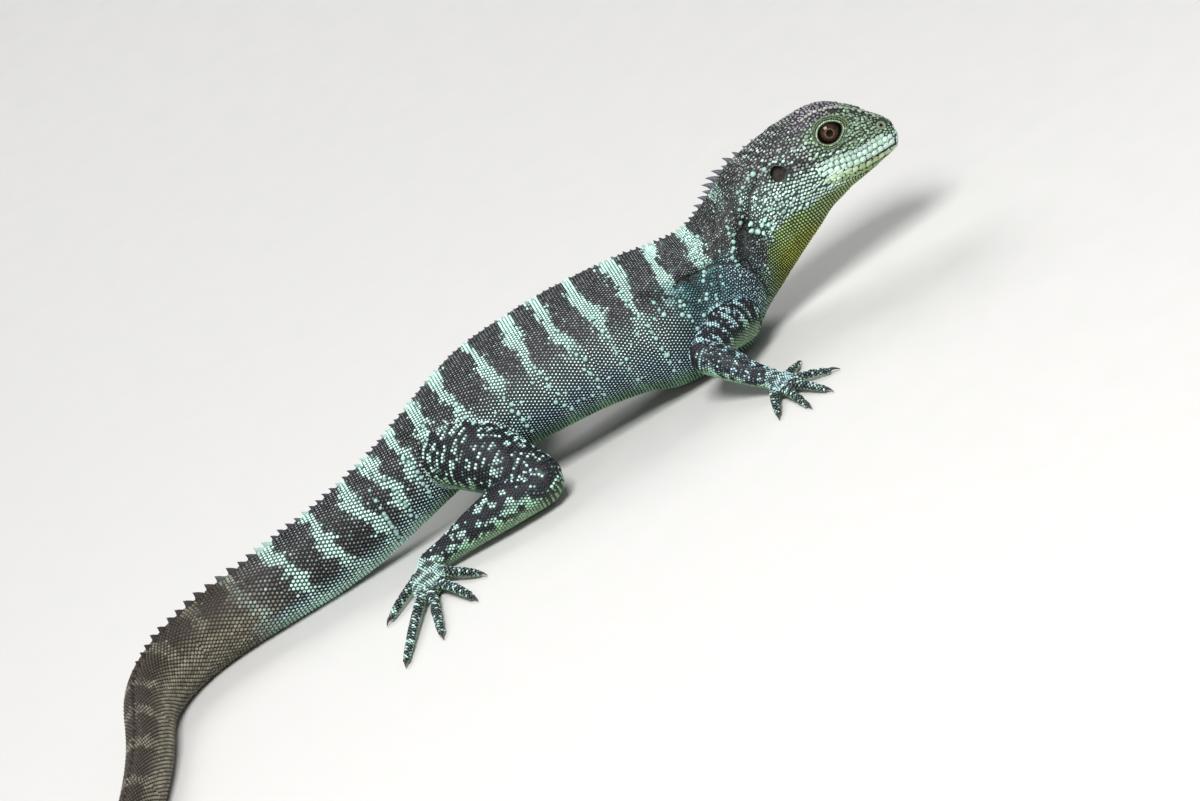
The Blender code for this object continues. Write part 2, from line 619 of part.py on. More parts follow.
def finish(obj, colour, roughness):
    """Give the part its own material and smooth shading."""
    material = bpy.data.materials.new(obj.name)
    material.use_nodes = True
    shader = material.node_tree.nodes["Principled BSDF"]
    shader.inputs["Base Color"].default_value = (*colour, 1.0)
    shader.inputs["Roughness"].default_value = roughness
    shader.inputs["Metallic"].default_value = 0.0
    obj.data.materials.clear()
    obj.data.materials.append(material)
    obj.data.shade_smooth()
    obj.data.set_sharp_from_angle(angle=math.radians(40))


def colour_of(name):
    """The plain colour of a part, from its name."""
    for word, key in (("eye", "eye"), ("arm", "arm"), ("hand", "arm"), ("thigh", "leg"), ("shank", "leg"),
                      ("foot", "leg"), ("tail", "tail"), ("neck", "neck"), ("torso", "torso"), ("head", "head")):
        if word in name:
            return COLOURS[key]
    return COLOURS["torso"]


def build():
    """Make every part of the animal."""
    clear_scene()
    rng = np.random.default_rng(SEED)
    parts = [make_head(rng)]
    parts.append(make_eye("eye_right", -1))
    parts.append(make_eye("eye_left", 1))
    parts.append(make_axial("neck", HEAD_END, NECK_END, 6, 28, rng, (HEAD_END + 0.25, NECK_END - 0.25)))
    parts.append(make_axial("torso_front", NECK_END, BELLY_START, 15, 28, rng,
                            (NECK_END + 0.2, BELLY_START - 0.2), rests=True))
    parts.append(make_axial("torso_rear", BELLY_START, TORSO_END, 13, 28, rng, (BELLY_START + 0.15, TORSO_END - 0.2)))
    ends = (TORSO_END,) + TAIL_CUTS + (TAIL_END,)
    for i, rings in enumerate(TAIL_RINGS):
        stop = min(ends[i + 1] - 0.3, CREST_END)
        parts.append(make_axial(f"tail_{i + 1}", ends[i], ends[i + 1], rings, TAIL_SIDES[i], rng,
                                (ends[i] + 0.3, stop), rests=True))
    parts += make_limbs("right", -1, RIGHT_ARM, RIGHT_LEG, math.radians(-66), math.radians(-106))
    parts += make_limbs("left", 1, LEFT_ARM, LEFT_LEG, math.radians(38), math.radians(58))
    for part in parts:
        roughness = EYE_ROUGHNESS if part.name.startswith("eye") else SKIN_ROUGHNESS
        finish(part, colour_of(part.name), roughness)


build()
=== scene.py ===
"""A still, life-size model of a water dragon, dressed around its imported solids.

Lengths in the functions are millimetres and MM turns them into Blender's metres. The animal faces +X,
its right side is towards -Y, and the floor is z = 0.
"""

import math

import bpy
import numpy as np
from mathutils import Matrix, Vector


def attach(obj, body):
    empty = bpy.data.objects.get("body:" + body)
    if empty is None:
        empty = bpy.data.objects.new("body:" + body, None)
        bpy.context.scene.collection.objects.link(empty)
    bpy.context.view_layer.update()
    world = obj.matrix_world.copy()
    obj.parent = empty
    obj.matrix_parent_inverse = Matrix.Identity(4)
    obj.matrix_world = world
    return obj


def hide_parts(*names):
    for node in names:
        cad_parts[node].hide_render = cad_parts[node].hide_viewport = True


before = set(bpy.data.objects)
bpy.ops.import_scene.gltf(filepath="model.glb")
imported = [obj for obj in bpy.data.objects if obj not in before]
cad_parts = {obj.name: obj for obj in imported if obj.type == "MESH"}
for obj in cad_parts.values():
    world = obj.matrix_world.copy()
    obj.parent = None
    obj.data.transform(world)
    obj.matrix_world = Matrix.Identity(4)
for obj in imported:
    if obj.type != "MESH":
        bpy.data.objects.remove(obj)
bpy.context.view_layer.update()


# The skin. On a museum model it is one cast hide of soft, dark, leathery skin, from the lips to the
# tip of the tail and out to the toes. It is cast in one piece over the body, so it has no seam, and
# it lies a scale's depth inside the solids.

MM = 0.001
SCALE_DEPTH = 0.45  # how far the skin lies inside the solids
DIGIT_DEPTH = 0.3  # and how far on the digits
ROLL_AXIS_Z = 30.0
TRUNK_ROLL = math.radians(4.0)
HEAD_ROLL = math.radians(10.0)
TAIL_START_X = -184.0
TAIL_START_TOP = 29.4
TAIL_START_WIDTH = 10.9
TAIL_BEND_RADIUS = 54.0
TAIL_BEND = math.radians(84.0)
TAIL_REST_LENGTH = 276.0
TAIL_REST_TURN = math.radians(-52.0)
TAIL_TIP_HEIGHT = 3.0
TAIL_STATIONS = 26
TAIL_END = 29.0 + TAIL_STATIONS
SINK = 0.35
# Stations from snout to tail: top x, z; bottom x, z; half width; widest level; upper, lower roundness.
STATIONS = np.array((
    (110.3, 45.4, 109.9, 38.3, 4.4, 0.50, 2.0, 2.0), (108.4, 49.0, 107.8, 35.3, 6.5, 0.48, 2.1, 2.1),
    (104.8, 52.8, 105.0, 34.5, 8.0, 0.46, 2.2, 2.1), (101.6, 56.2, 102.0, 34.0, 9.0, 0.45, 2.3, 2.1),
    (98.5, 59.8, 99.0, 33.3, 9.9, 0.44, 2.4, 2.0), (95.3, 62.8, 95.5, 32.6, 10.9, 0.44, 2.5, 2.0),
    (90.5, 65.6, 91.0, 31.9, 12.0, 0.44, 2.5, 2.0), (84.5, 66.8, 86.0, 31.3, 13.1, 0.43, 2.5, 2.0),
    (78.0, 66.9, 81.0, 29.9, 14.3, 0.44, 2.4, 1.9), (70.0, 66.7, 75.0, 28.2, 15.2, 0.46, 2.2, 1.9),
    (60.0, 65.4, 67.7, 24.5, 14.8, 0.50, 2.0, 1.9), (47.5, 62.6, 57.0, 19.3, 13.6, 0.50, 1.9, 1.9),
    (35.0, 56.2, 45.6, 13.6, 14.4, 0.47, 1.9, 2.0), (24.0, 51.6, 33.4, 7.2, 17.8, 0.44, 1.9, 2.1),
    (15.0, 51.9, 23.5, -0.1, 20.8, 0.43, 1.9, 2.2), (8.0, 53.0, 11.0, -0.5, 22.5, 0.43, 1.9, 2.2),
    (0.0, 54.8, 0.0, -0.5, 24.0, 0.43, 1.9, 2.2), (-10.0, 56.4, -10.0, 1.4, 25.2, 0.43, 1.9, 2.2),
    (-20.0, 57.4, -20.0, 5.6, 26.0, 0.43, 1.9, 2.2), (-35.0, 58.4, -35.0, 9.0, 26.6, 0.42, 1.9, 2.2),
    (-53.0, 58.3, -53.0, 10.8, 26.2, 0.42, 1.9, 2.2), (-70.0, 57.3, -70.0, 11.6, 24.4, 0.43, 1.9, 2.1),
    (-82.0, 54.8, -82.0, 12.0, 21.8, 0.44, 1.9, 2.0), (-92.0, 51.6, -92.0, 11.8, 19.0, 0.46, 1.9, 2.0),
    (-104.0, 47.0, -104.0, 9.6, 16.6, 0.47, 1.9, 2.0), (-119.0, 41.4, -119.0, 5.8, 14.6, 0.48, 1.9, 2.0),
    (-138.0, 36.2, -138.0, 1.7, 13.0, 0.48, 1.9, 2.0), (-156.0, 33.2, -156.0, -0.2, 12.0, 0.48, 1.9, 2.0),
    (-171.0, 31.2, -171.0, -SINK, 11.4, 0.48, 1.9, 2.0),
    (TAIL_START_X, TAIL_START_TOP, TAIL_START_X, -SINK, TAIL_START_WIDTH, 0.48, 1.9, 2.0),
))
# Limbs: joint centres x, y, z and the two half thicknesses there, from shoulder or hip to wrist or ankle.
LIMBS = {
    "right_arm": ((23.0, -15.0, 16.0, 9.0, 10.5), (15.0, -28.0, 18.5, 7.4, 8.4), (4.7, -41.0, 19.5, 6.1, 6.3),
                  (9.5, -48.0, 15.6, 6.6, 6.6), (15.5, -56.0, 9.6, 5.2, 4.8), (21.5, -62.5, 5.2, 4.6, 3.6)),
    "left_arm": ((23.0, 15.0, 16.0, 9.0, 10.5), (14.0, 28.0, 18.5, 7.4, 8.4), (2.2, 39.5, 18.7, 6.1, 6.3),
                 (6.0, 46.5, 15.0, 6.6, 6.6), (11.0, 54.5, 9.2, 5.2, 4.8), (16.0, 61.0, 5.2, 4.6, 3.6)),
    "right_leg": ((-95.0, -8.0, 29.0, 14.5, 14.0), (-86.0, -22.0, 24.5, 14.0, 13.5),
                  (-77.0, -34.0, 17.0, 11.4, 11.2), (-70.8, -41.5, 10.3, 8.3, 8.3),
                  (-84.0, -41.5, 10.4, 9.0, 8.8), (-100.0, -40.6, 8.8, 7.4, 7.2),
                  (-114.0, -39.8, 6.6, 5.4, 5.2), (-123.0, -39.6, 5.6, 4.8, 4.6)),
    "left_leg": ((-95.0, 8.0, 29.0, 14.5, 14.0), (-85.0, 22.0, 24.5, 14.0, 13.5),
                 (-74.0, 33.0, 17.0, 11.4, 11.2), (-66.4, 39.6, 10.3, 8.3, 8.3),
                 (-79.0, 42.0, 10.4, 9.0, 8.8), (-94.0, 45.5, 8.8, 7.4, 7.2), (-107.0, 48.5, 6.6, 5.4, 5.2),
                 (-115.0, 50.0, 5.6, 4.8, 4.6)),
}
# A paw: side (1 left), heading in degrees, digit radius, palm length and half width, and its digits:
# turn towards the body in degrees, root forward and across, length.
HAND_DIGITS = ((124.0, 3.0, 3.4, 12.0), (36.0, 7.0, 2.6, 16.0), (3.0, 9.0, 0.4, 22.0),
               (-14.0, 8.0, -2.4, 23.0), (-35.0, 4.0, -4.0, 18.5))
FOOT_DIGITS = ((52.0, 9.0, 5.2, 20.0), (33.0, 15.0, 4.0, 29.0), (10.0, 18.0, 1.4, 41.0),
               (-4.0, 16.0, -1.8, 52.0), (-28.0, 1.0, -4.6, 25.0))
PAWS = {
    "right_arm": (-1, -66.0, 2.05, 10.0, 5.6, HAND_DIGITS),
    "left_arm": (1, 38.0, 2.05, 10.0, 5.6, HAND_DIGITS),
    "right_leg": (-1, -106.0, 2.3, 20.0, 7.4, FOOT_DIGITS),
    "left_leg": (1, 58.0, 2.3, 20.0, 7.4, FOOT_DIGITS),
}
PALM_ROWS = ((-0.12, 0.62, 4.8, 4.2), (0.25, 0.82, 4.2, 4.0), (0.65, 1.0, 3.4, 3.5), (1.0, 0.78, 2.9, 3.0))
DIGIT_ROWS = ((0.0, 3.4, 1.15), (0.28, 3.2, 1.0), (0.55, 2.9, 0.92), (0.8, 2.2, 0.86), (1.0, 1.45, 0.74))
ROWS_RADIUS, DIGIT_HEIGHT = 2.1, 0.92  # the radius those heights are for; a digit's height over its width
EYE_CENTRE = (88.1, 7.4, 54.8)
EYE_RADIUS = 5.3
LID_RADII = (7.2, 5.9, 6.6)
BROW_LINE = ((77.0, 8.0, 62.6, 0.8), (82.0, 8.5, 63.2, 1.3), (86.0, 8.8, 63.3, 1.5), (90.5, 8.8, 62.5, 1.5),
             (94.5, 8.2, 60.8, 1.4), (98.0, 7.4, 58.2, 1.3), (102.0, 6.4, 54.5, 1.1), (106.0, 5.3, 50.0, 0.7))
SKIN_VOXEL = 1.02
# Creases of loose skin on the neck and shoulder: upright x and z along each, its depth and half breadth.
# A depth below zero is a raised fold.
CREASES = (
    (((54, 52.5), (51, 50.6), (48.9, 48.2), (46.4, 45.2), (43.4, 42.4)), 1.1, 1.3),
    (((42.8, 41.5), (40.1, 38.7), (38.2, 34.9), (36.4, 31.5)), 1.7, 3.1),
    (((38.8, 45.5), (37.6, 42), (36.2, 38.5), (34, 34.5), (33.6, 31.5)), -0.7, 0.9),
    (((45.5, 49.8), (42.4, 47)), -0.6, 1.0),
    (((45.2, 38), (44.2, 33), (43, 28), (41.8, 23)), -0.5, 1.2),
    (((36, 30.6), (30.7, 34.2), (26.7, 36.8), (23, 37.4), (18.5, 38), (15, 38.8), (11.5, 39.6), (9, 38.8)),
     1.2, 1.1),
    (((36.4, 29.5), (38, 24.2), (38.4, 20), (37.8, 14)), 1.4, 1.4),
    (((-3.6, 42.9), (-0.2, 40.7), (3, 38.7), (5.4, 36.7), (8.7, 33.7), (11.3, 30), (12.4, 26.4)), 1.0, 1.0),
    (((15.2, 38), (15.5, 35.1), (16.4, 31.5)), 1.1, 1.6),
    (((24.8, 34), (23.7, 31), (22.6, 27.5)), 0.8, 1.0),
    (((33, 30), (30, 24), (28.5, 17)), -0.6, 3.0),
    (((20, 33.5), (19, 29), (17.5, 24)), -0.5, 1.3),
    (((61, 36), (58, 30), (57, 23)), 0.4, 0.7),
    (((-112, 44), (-104, 40), (-97, 35)), 0.9, 1.0),
    (((-70, 30), (-76, 22), (-80, 16)), 0.9, 1.2),
)
SEED = 23
chance = np.random.default_rng(SEED)


def spline(rows, where):
    """A smooth curve through the rows, read at the row numbers in where: a cubic from each row to the
    next, whose slope at a row is half the step from the row before it to the row after it."""
    rows = np.asarray(rows, float)
    ends = np.vstack([2 * rows[0] - rows[1], rows, 2 * rows[-1] - rows[-2]])
    where = np.clip(np.asarray(where, float), 0, len(rows) - 1)
    k = np.minimum(where.astype(int), len(rows) - 2)
    t = (where - k)[:, None]
    a, b, c, d = ends[k], ends[k + 1], ends[k + 2], ends[k + 3]
    return 0.5 * (2 * b + (c - a) * t + (2 * a - 5 * b + 4 * c - d) * t**2 + (3 * b - a - 3 * c + d) * t**3)


def ramp(low, high, x):
    """0 below low, 1 above high, and a smooth step between them."""
    t = np.clip((x - low) / (high - low), 0, 1)
    return t * t * (3 - 2 * t)


def roll_body(points, way=1):
    """Lean each cross plane about the line y = 0, z = ROLL_AXIS_Z: the trunk a little, the head more.
    With way -1 the lean is taken out again, which gives a place's upright x, y and z."""
    points = np.asarray(points, float)
    x, y, z = points[..., 0], points[..., 1], points[..., 2]
    angle = way * (TRUNK_ROLL * ramp(-110, -50, x) + (HEAD_ROLL - TRUNK_ROLL) * ramp(0, 60, x))
    up = z - ROLL_AXIS_Z
    return np.stack([x, y * np.cos(angle) + up * np.sin(angle),
                     ROLL_AXIS_Z - y * np.sin(angle) + up * np.cos(angle)], axis=-1)


def tail_path():
    """The bent tail's centre and heading by length: the heading turns by the bend and then back."""
    arc = TAIL_BEND_RADIUS * TAIL_BEND
    steps = np.linspace(0, arc + TAIL_REST_LENGTH, 600)
    rest = np.clip((steps - arc) / TAIL_REST_LENGTH, 0, 1)
    turn = TAIL_BEND * ramp(0, arc * 1.15, steps) + TAIL_REST_TURN * rest
    x = TAIL_START_X - np.concatenate([[0], np.cumsum(np.cos(turn[:-1]) * steps[1])])
    y = -np.concatenate([[0], np.cumsum(np.sin(turn[:-1]) * steps[1])])
    return steps, x, y, turn


def body_surface(where, angle, grow=0.0):
    """The body at station numbers (rows) and angles (columns, 0 is the back): a superellipse between the
    top and bottom points of each station, then rolled. Also gives the share of height from the belly."""
    where = np.asarray(where, float)
    angle = np.asarray(angle, float)
    last = len(STATIONS) - 1
    rows = spline(STATIONS, np.minimum(where, last))
    top = np.stack([rows[:, 0], 0 * where, rows[:, 1]], axis=1)
    low = np.stack([rows[:, 2], 0 * where, rows[:, 3]], axis=1)
    side = np.tile([0.0, 1.0, 0.0], (len(where), 1))
    width, level, upper, lower = rows[:, 4:].T.copy()
    share = np.clip((where - last) / TAIL_STATIONS, 0, 1)
    steps, path_x, path_y, path_turn = tail_path()
    x, y, turn = (np.interp(share * steps[-1], steps, values) for values in (path_x, path_y, path_turn))
    taper = (1 - share) ** 0.92
    bent = where > last
    top[bent] = np.stack([x, y, TAIL_TIP_HEIGHT + (TAIL_START_TOP - TAIL_TIP_HEIGHT) * taper], axis=1)[bent]
    low[bent] = np.stack([x, y, np.full(len(where), -SINK)], axis=1)[bent]
    side[bent] = np.stack([-np.sin(turn), np.cos(turn), 0 * turn], axis=1)[bent]
    width[bent] = (1.1 + (TAIL_START_WIDTH - 1.1) * taper**1.05)[bent]
    up = (top - low) / np.linalg.norm(top - low, axis=1)[:, None]
    top, low, width = top + grow * up, low - grow * up, np.maximum(width + grow, 0.3)
    cos, sin, _ = np.broadcast_arrays(np.cos(angle), np.sin(angle), where[:, None])
    power = 2 / np.where(cos > 0, upper[:, None], lower[:, None])
    across = width[:, None] * np.sign(sin) * np.abs(sin) ** power
    reach = np.where(cos > 0, 1 - level[:, None], level[:, None])
    along = level[:, None] + reach * np.sign(cos) * np.abs(cos) ** power
    shape = low[:, None] + along[..., None] * (top - low)[:, None] + across[..., None] * side[:, None]
    return roll_body(shape), along, shape


def tube_surface(joints, where, angle, grow=0.0):
    """A limb at joint numbers and angles: ellipses square to the spline through the joints. Past an
    end the ellipse shrinks as a quarter circle, which closes it with a dome."""
    joints = np.asarray(joints, float)
    where = np.asarray(where, float)
    last = len(joints) - 1
    fine = np.linspace(0, last, last * 8 + 1)
    path = spline(joints, fine)
    ahead = np.gradient(path[:, :3], axis=0)
    ahead /= np.linalg.norm(ahead, axis=1)[:, None]
    inside = np.clip(where, 0, last)
    rows = spline(joints, inside)
    ahead = np.stack([np.interp(inside, fine, ahead[:, i]) for i in range(3)], axis=1)
    ahead /= np.linalg.norm(ahead, axis=1)[:, None]
    side = np.cross(ahead, [0.0, 0.0, 1.0])
    side /= np.linalg.norm(side, axis=1)[:, None]
    up = np.cross(side, ahead)
    past = where - inside
    turn = np.clip(np.abs(past), 0, 1) * np.pi / 2
    centre = rows[:, :3] + ahead * (np.sign(past) * np.sin(turn) * (rows[:, 4] + grow))[:, None]
    wide, high = ((rows[:, column] + grow)[:, None] * np.cos(turn)[:, None] for column in (3, 4))
    cos, sin, _ = np.broadcast_arrays(np.cos(angle), np.sin(angle), where[:, None])
    return centre[:, None] + (sin * wide)[..., None] * side[:, None] + (cos * high)[..., None] * up[:, None]


def palm_joints(limb):
    """The palm or sole: four ellipses from the wrist forward along the paw's heading."""
    _, heading, _, length, width, _ = PAWS[limb]
    wrist = LIMBS[limb][-1]
    heading = math.radians(heading)
    ahead = np.array([math.cos(heading), math.sin(heading)]) * length
    return np.array([(*(wrist[:2] + ahead * share), height, width * size, thick)
                     for share, size, height, thick in PALM_ROWS])


def digit_joints(limb, digit):
    """A digit's centres and half thicknesses: it arches off the palm and comes down to the floor."""
    side, heading, radius, _, _, digits = PAWS[limb]
    turn, forward, across, length = digits[digit]
    heading = math.radians(heading)
    ahead = np.array([math.cos(heading), math.sin(heading)])
    inward = np.array([-ahead[1], ahead[0]]) * -side
    root = np.array(LIMBS[limb][-1][:2]) + ahead * forward + inward * across
    turned = heading - side * math.radians(turn)
    along = np.array([math.cos(turned), math.sin(turned)])
    return np.array([(*(root + along * share * length), height * radius / ROWS_RADIUS, radius * size,
                      radius * size * DIGIT_HEIGHT) for share, height, size in DIGIT_ROWS])


def grid_faces(rows, columns):
    """Quads between neighbouring rows and columns of a grid that is closed round its columns."""
    row = np.arange(rows - 1)[:, None] * columns
    column = np.arange(columns)[None, :]
    after = (column + 1) % columns
    quads = [row + column, row + after, row + columns + after, row + columns + column]
    return np.stack(quads, axis=-1).reshape(-1, 4)


def capped_tube(points):
    """A grid's points and faces with a fan of triangles over its first and last row."""
    rows, columns = points.shape[:2]
    flat = np.vstack([points.reshape(-1, 3), points[0].mean(axis=0), points[-1].mean(axis=0)])
    column = np.arange(columns)
    after = (column + 1) % columns
    first, last = rows * columns, rows * columns + 1
    end = (rows - 1) * columns
    near = np.stack([np.full(columns, first), after, column], axis=1)
    far = np.stack([np.full(columns, last), column + end, after + end], axis=1)
    return flat, [grid_faces(rows, columns), near, far]


def put_mesh(name, points, faces, smooth=True):
    """An object from points in millimetres and arrays of faces of any corner count."""
    mesh = bpy.data.meshes.new(name)
    mesh.vertices.add(len(points))
    mesh.vertices.foreach_set("co", (np.asarray(points, float) * MM).ravel())
    if faces:
        corners = np.concatenate([group.ravel() for group in faces])
        sizes = np.concatenate([np.full(len(group), group.shape[1]) for group in faces])
        mesh.loops.add(len(corners))
        mesh.loops.foreach_set("vertex_index", corners.astype(np.int32))
        mesh.polygons.add(len(sizes))
        mesh.polygons.foreach_set("loop_start", np.concatenate([[0], np.cumsum(sizes)[:-1]]).astype(np.int32))
        mesh.polygons.foreach_set("use_smooth", np.full(len(sizes), smooth))
        mesh.update(calc_edges=True)
    piece = bpy.data.objects.new(name, mesh)
    bpy.context.scene.collection.objects.link(piece)
    return piece


def vertex_rows(piece, what):
    """A mesh object's places or normals as rows of three numbers."""
    flat = np.empty(len(piece.data.vertices) * 3, np.float32)
    piece.data.vertices.foreach_get(what, flat)
    return flat.reshape(-1, 3).astype(float)


def points_of(piece):
    """A mesh object's points in millimetres."""
    return vertex_rows(piece, "co") / MM


def apply_modifiers(piece):
    """Bake the object's modifiers into its mesh."""
    graph = bpy.context.evaluated_depsgraph_get()
    mesh = bpy.data.meshes.new_from_object(piece.evaluated_get(graph))
    piece.modifiers.clear()
    piece.data = mesh


def join_tubes(name, tubes):
    """One object from several capped tubes."""
    points, faces, start = [], [], 0
    for tube in tubes:
        flat, groups = capped_tube(tube)
        points.append(flat)
        faces += [group + start for group in groups]
        start += len(flat)
    return put_mesh(name, np.vstack(points), faces)


def ball_shape(polar, turn):
    """A ball of radius 1 by the angle from its pole on +Y and the turn round it."""
    return np.stack([np.sin(polar) * np.cos(turn), np.cos(polar) + 0 * turn, np.sin(polar) * np.sin(turn)],
                    axis=-1)


def crease_depth(x, z):
    """How deep the creases are at upright x and z: the sum of a bell across each crease's line, whose
    distance is taken to the nearest point of its straight lengths."""
    total = np.zeros_like(x)
    place = np.stack([x, z], axis=1)[:, None]
    for line, depth, breadth in CREASES:
        start = np.array(line[:-1], float)
        run = np.array(line[1:], float) - start
        share = np.clip(((place - start) * run).sum(axis=2) / (run**2).sum(axis=1), 0, 1)
        off = np.linalg.norm(place - start - share[..., None] * run, axis=2).min(axis=1)
        total += depth * np.exp(-(off / breadth) ** 2)
    return total


def off_centre(x, z, centre, half_x, half_z):
    """How far upright places are from a centre of the face, as a share of an ellipse's half sizes."""
    return np.hypot((x - centre[0]) / half_x, (z - centre[2]) / half_z)


class Wire:
    """A socket of a material's node tree. Arithmetic on it adds Math nodes."""

    def __init__(self, tree, socket=None):
        self.tree, self.socket = tree, socket

    def node(self, kind, settings=(), inputs=(), out=0):
        """Add a node: its settings are made first, then each input, by name or number, gets its value
        or wire. Gives the output asked for."""
        made = self.tree.nodes.new(kind)
        for name, value in dict(settings).items():
            setattr(made, name, value)
        for key, value in dict(inputs).items():
            if isinstance(value, Wire):
                self.tree.links.new(value.socket, made.inputs[key])
            else:
                made.inputs[key].default_value = value
        return Wire(self.tree, made.outputs[out])

    def math(self, operation, first, second, clamp=False):
        """The result of an operation on two numbers or wires, held between 0 and 1 if clamped."""
        settings = {"operation": operation, "use_clamp": clamp}
        return self.node("ShaderNodeMath", settings, {0: first, 1: second})

    def __add__(self, other):
        return self.math("ADD", self, other)

    def __sub__(self, other):
        return self.math("SUBTRACT", self, other)

    def __rsub__(self, other):
        return self.math("SUBTRACT", other, self)

    def __mul__(self, other):
        return self.math("MULTIPLY", self, other)

    def __pow__(self, other):
        return self.math("POWER", self, other)

    __radd__, __rmul__ = __add__, __mul__

    def attribute(self, name, out):
        """What the piece's points carry under a name."""
        return self.node("ShaderNodeAttribute", {"attribute_name": name}, out=out)

    def noise(self, scale, detail=2.0):
        """Noise from 0 to 1 through the object's own space; scale counts its waves in a metre."""
        place = self.node("ShaderNodeTexCoord", out="Object")
        return self.node("ShaderNodeTexNoise", {}, {"Vector": place, "Scale": scale, "Detail": detail}, "Fac")

    def shade(self, colour, strength):
        """A colour made lighter or darker by a number."""
        return self.node("ShaderNodeVectorMath", {"operation": "SCALE"}, {0: colour, 3: strength})

    def mix(self, share, low, high):
        """From one colour to another by a share from 0 to 1."""
        return self.node("ShaderNodeMix", {"data_type": "RGBA"}, {0: share, 6: low, 7: high}, 2)


def new_material(name, **values):
    """A material, a wire to start from, and a function that feeds wires to its shader's sockets."""
    material = bpy.data.materials.new(name)
    material.use_nodes = True
    tree = material.node_tree
    shader = tree.nodes["Principled BSDF"]
    for key, value in values.items():
        shader.inputs[key.replace("_", " ")].default_value = value

    def feed(height, distance, strength=1.0, **wires):
        """Feed the wires to the shader's sockets, and a relief of the height given to its normal."""
        relief = {"Height": height, "Distance": distance, "Strength": strength}
        bump = Wire(tree).node("ShaderNodeBump", {}, relief)
        for key, wire in dict(wires, Normal=bump).items():
            tree.links.new(wire.socket, shader.inputs[key.replace("_", " ")])

    return material, Wire(tree), feed


ring_angles = np.linspace(0, 2 * np.pi, 96, endpoint=False) + 0.01
limb_angles = np.linspace(0, 2 * np.pi, 40, endpoint=False)
body_rows = np.concatenate([np.linspace(0, 29, 280), np.linspace(29.1, TAIL_END, 240)])
tubes = [body_surface(body_rows, ring_angles, -SCALE_DEPTH)[0]]
PAST = 0.97  # how far past its end joints a limb's dome is drawn: at 1 it would shrink to a point
for limb, joints in LIMBS.items():
    last = len(joints) - 1
    for shape, rows in ((joints, np.linspace(-PAST, last + PAST, last * 10 + 1)),
                        (palm_joints(limb), np.linspace(-PAST, 3 + PAST, 26))):
        tubes.append(tube_surface(shape, rows, limb_angles, -SCALE_DEPTH))
    for digit in range(5):
        rows = np.linspace(0, 4 + PAST, 30)
        tubes.append(tube_surface(digit_joints(limb, digit), rows, limb_angles[::2], -DIGIT_DEPTH))
for side in (-1, 1):
    brow = [(x, side * y, z, radius, radius) for x, y, z, radius in BROW_LINE]
    tubes.append(roll_body(tube_surface(brow, np.linspace(-PAST, 7 + PAST, 40), limb_angles[::2], -0.2)))
    lids = ball_shape(np.linspace(0.05, np.pi - 0.05, 24)[:, None], limb_angles[None, :])
    tubes.append(roll_body(np.array(EYE_CENTRE) * (1, side, 1) + (np.array(LID_RADII) - 0.35) * lids))
skin = join_tubes("skin", tubes)
remesh = skin.modifiers.new("remesh", "REMESH")
remesh.mode = "VOXEL"
remesh.voxel_size = SKIN_VOXEL * MM
relax = skin.modifiers.new("relax", "SMOOTH")
relax.factor = 0.5
relax.iterations = 4
apply_modifiers(skin)

# The creases are pressed into the hide, and then the sockets, ears and nostrils.
EAR_CENTRE = (63.6, 15.0, 51.7)
NOSTRIL_CENTRE = (106.9, 5.6, 46.4)
# Hollows: centre, half sizes, depth, where on their slope they are full, and the least outward place.
HOLLOWS = ((EYE_CENTRE, 6.0, 5.4, 0.0, 0.8, 2), (EAR_CENTRE, 3.5, 3.9, 2.4, 0.6, 8),
           (NOSTRIL_CENTRE, 1.5, 1.5, 1.5, 0.3, 2))
SOCKET_FLOOR = EYE_CENTRE[1] + 0.8
hide_points = points_of(skin)
upright = roll_body(hide_points, -1)
loose = ramp(4, 8, np.abs(upright[:, 1])) * ramp(2, 6, upright[:, 2])
loose *= ramp(-130, -120, upright[:, 0])
near = loose > 0
depth = np.zeros(len(upright))
depth[near] = crease_depth(upright[near, 0], upright[near, 2]) * loose[near]
upright = roll_body(hide_points - vertex_rows(skin, "normal") * depth[:, None], -1)
for side in (-1, 1):
    out = upright[:, 1] * side
    for centre, half_x, half_z, deep, full, least in HOLLOWS:
        off = off_centre(upright[:, 0], upright[:, 2], centre, half_x, half_z)
        pressed = out - deep if deep else np.minimum(out, SOCKET_FLOOR)
        inside = (upright[:, 0] > 55) & (out > least) & (off < 1)
        out = np.where(inside, out + (pressed - out) * ramp(1.0, full, off), out)
    upright[:, 1] = np.where(upright[:, 1] * side > 0, out * side, upright[:, 1])
hide_points = roll_body(upright)
hide_points[:, 2] = np.maximum(hide_points[:, 2], 0.05)
skin.data.vertices.foreach_set("co", (hide_points * MM).astype(np.float32).ravel())
skin.data.update()
skin.data.shade_smooth()
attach(skin, "root")
FLESH = [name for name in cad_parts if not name.startswith("eye")]
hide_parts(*FLESH)
hide_material, wire, feed = new_material("hide", Roughness=0.6)
grain = wire.noise(1400.0, 4.0)
feed(wire.noise(5200.0) + grain, 0.00006,
     Base_Color=wire.shade(wire.attribute("Marking", "Color"), 0.5 + grain), Roughness=0.45 + 0.3 * grain)
skin.data.materials.append(hide_material)


# The coat of the trunk, neck and tail. A water dragon's scales are small, keeled and set in slanting
# rows, larger on the tail, and each is a pale boss with a dark edge. They are cast with the hide, so
# each stands on the skin with its root sunk in it.

PATCH = 0.0015  # half the width of a scale's patch on the OFBake map
ROW_SHARE = 0.866  # distance between slanting rows as a share of the spacing in them
MOUTH_LINE = ((113.0, 37.0), (107.3, 37.3), (101.6, 37.6), (95.9, 37.8), (90.7, 38.6), (85.8, 40.1),
              (80.8, 41.3), (74.9, 42.0))
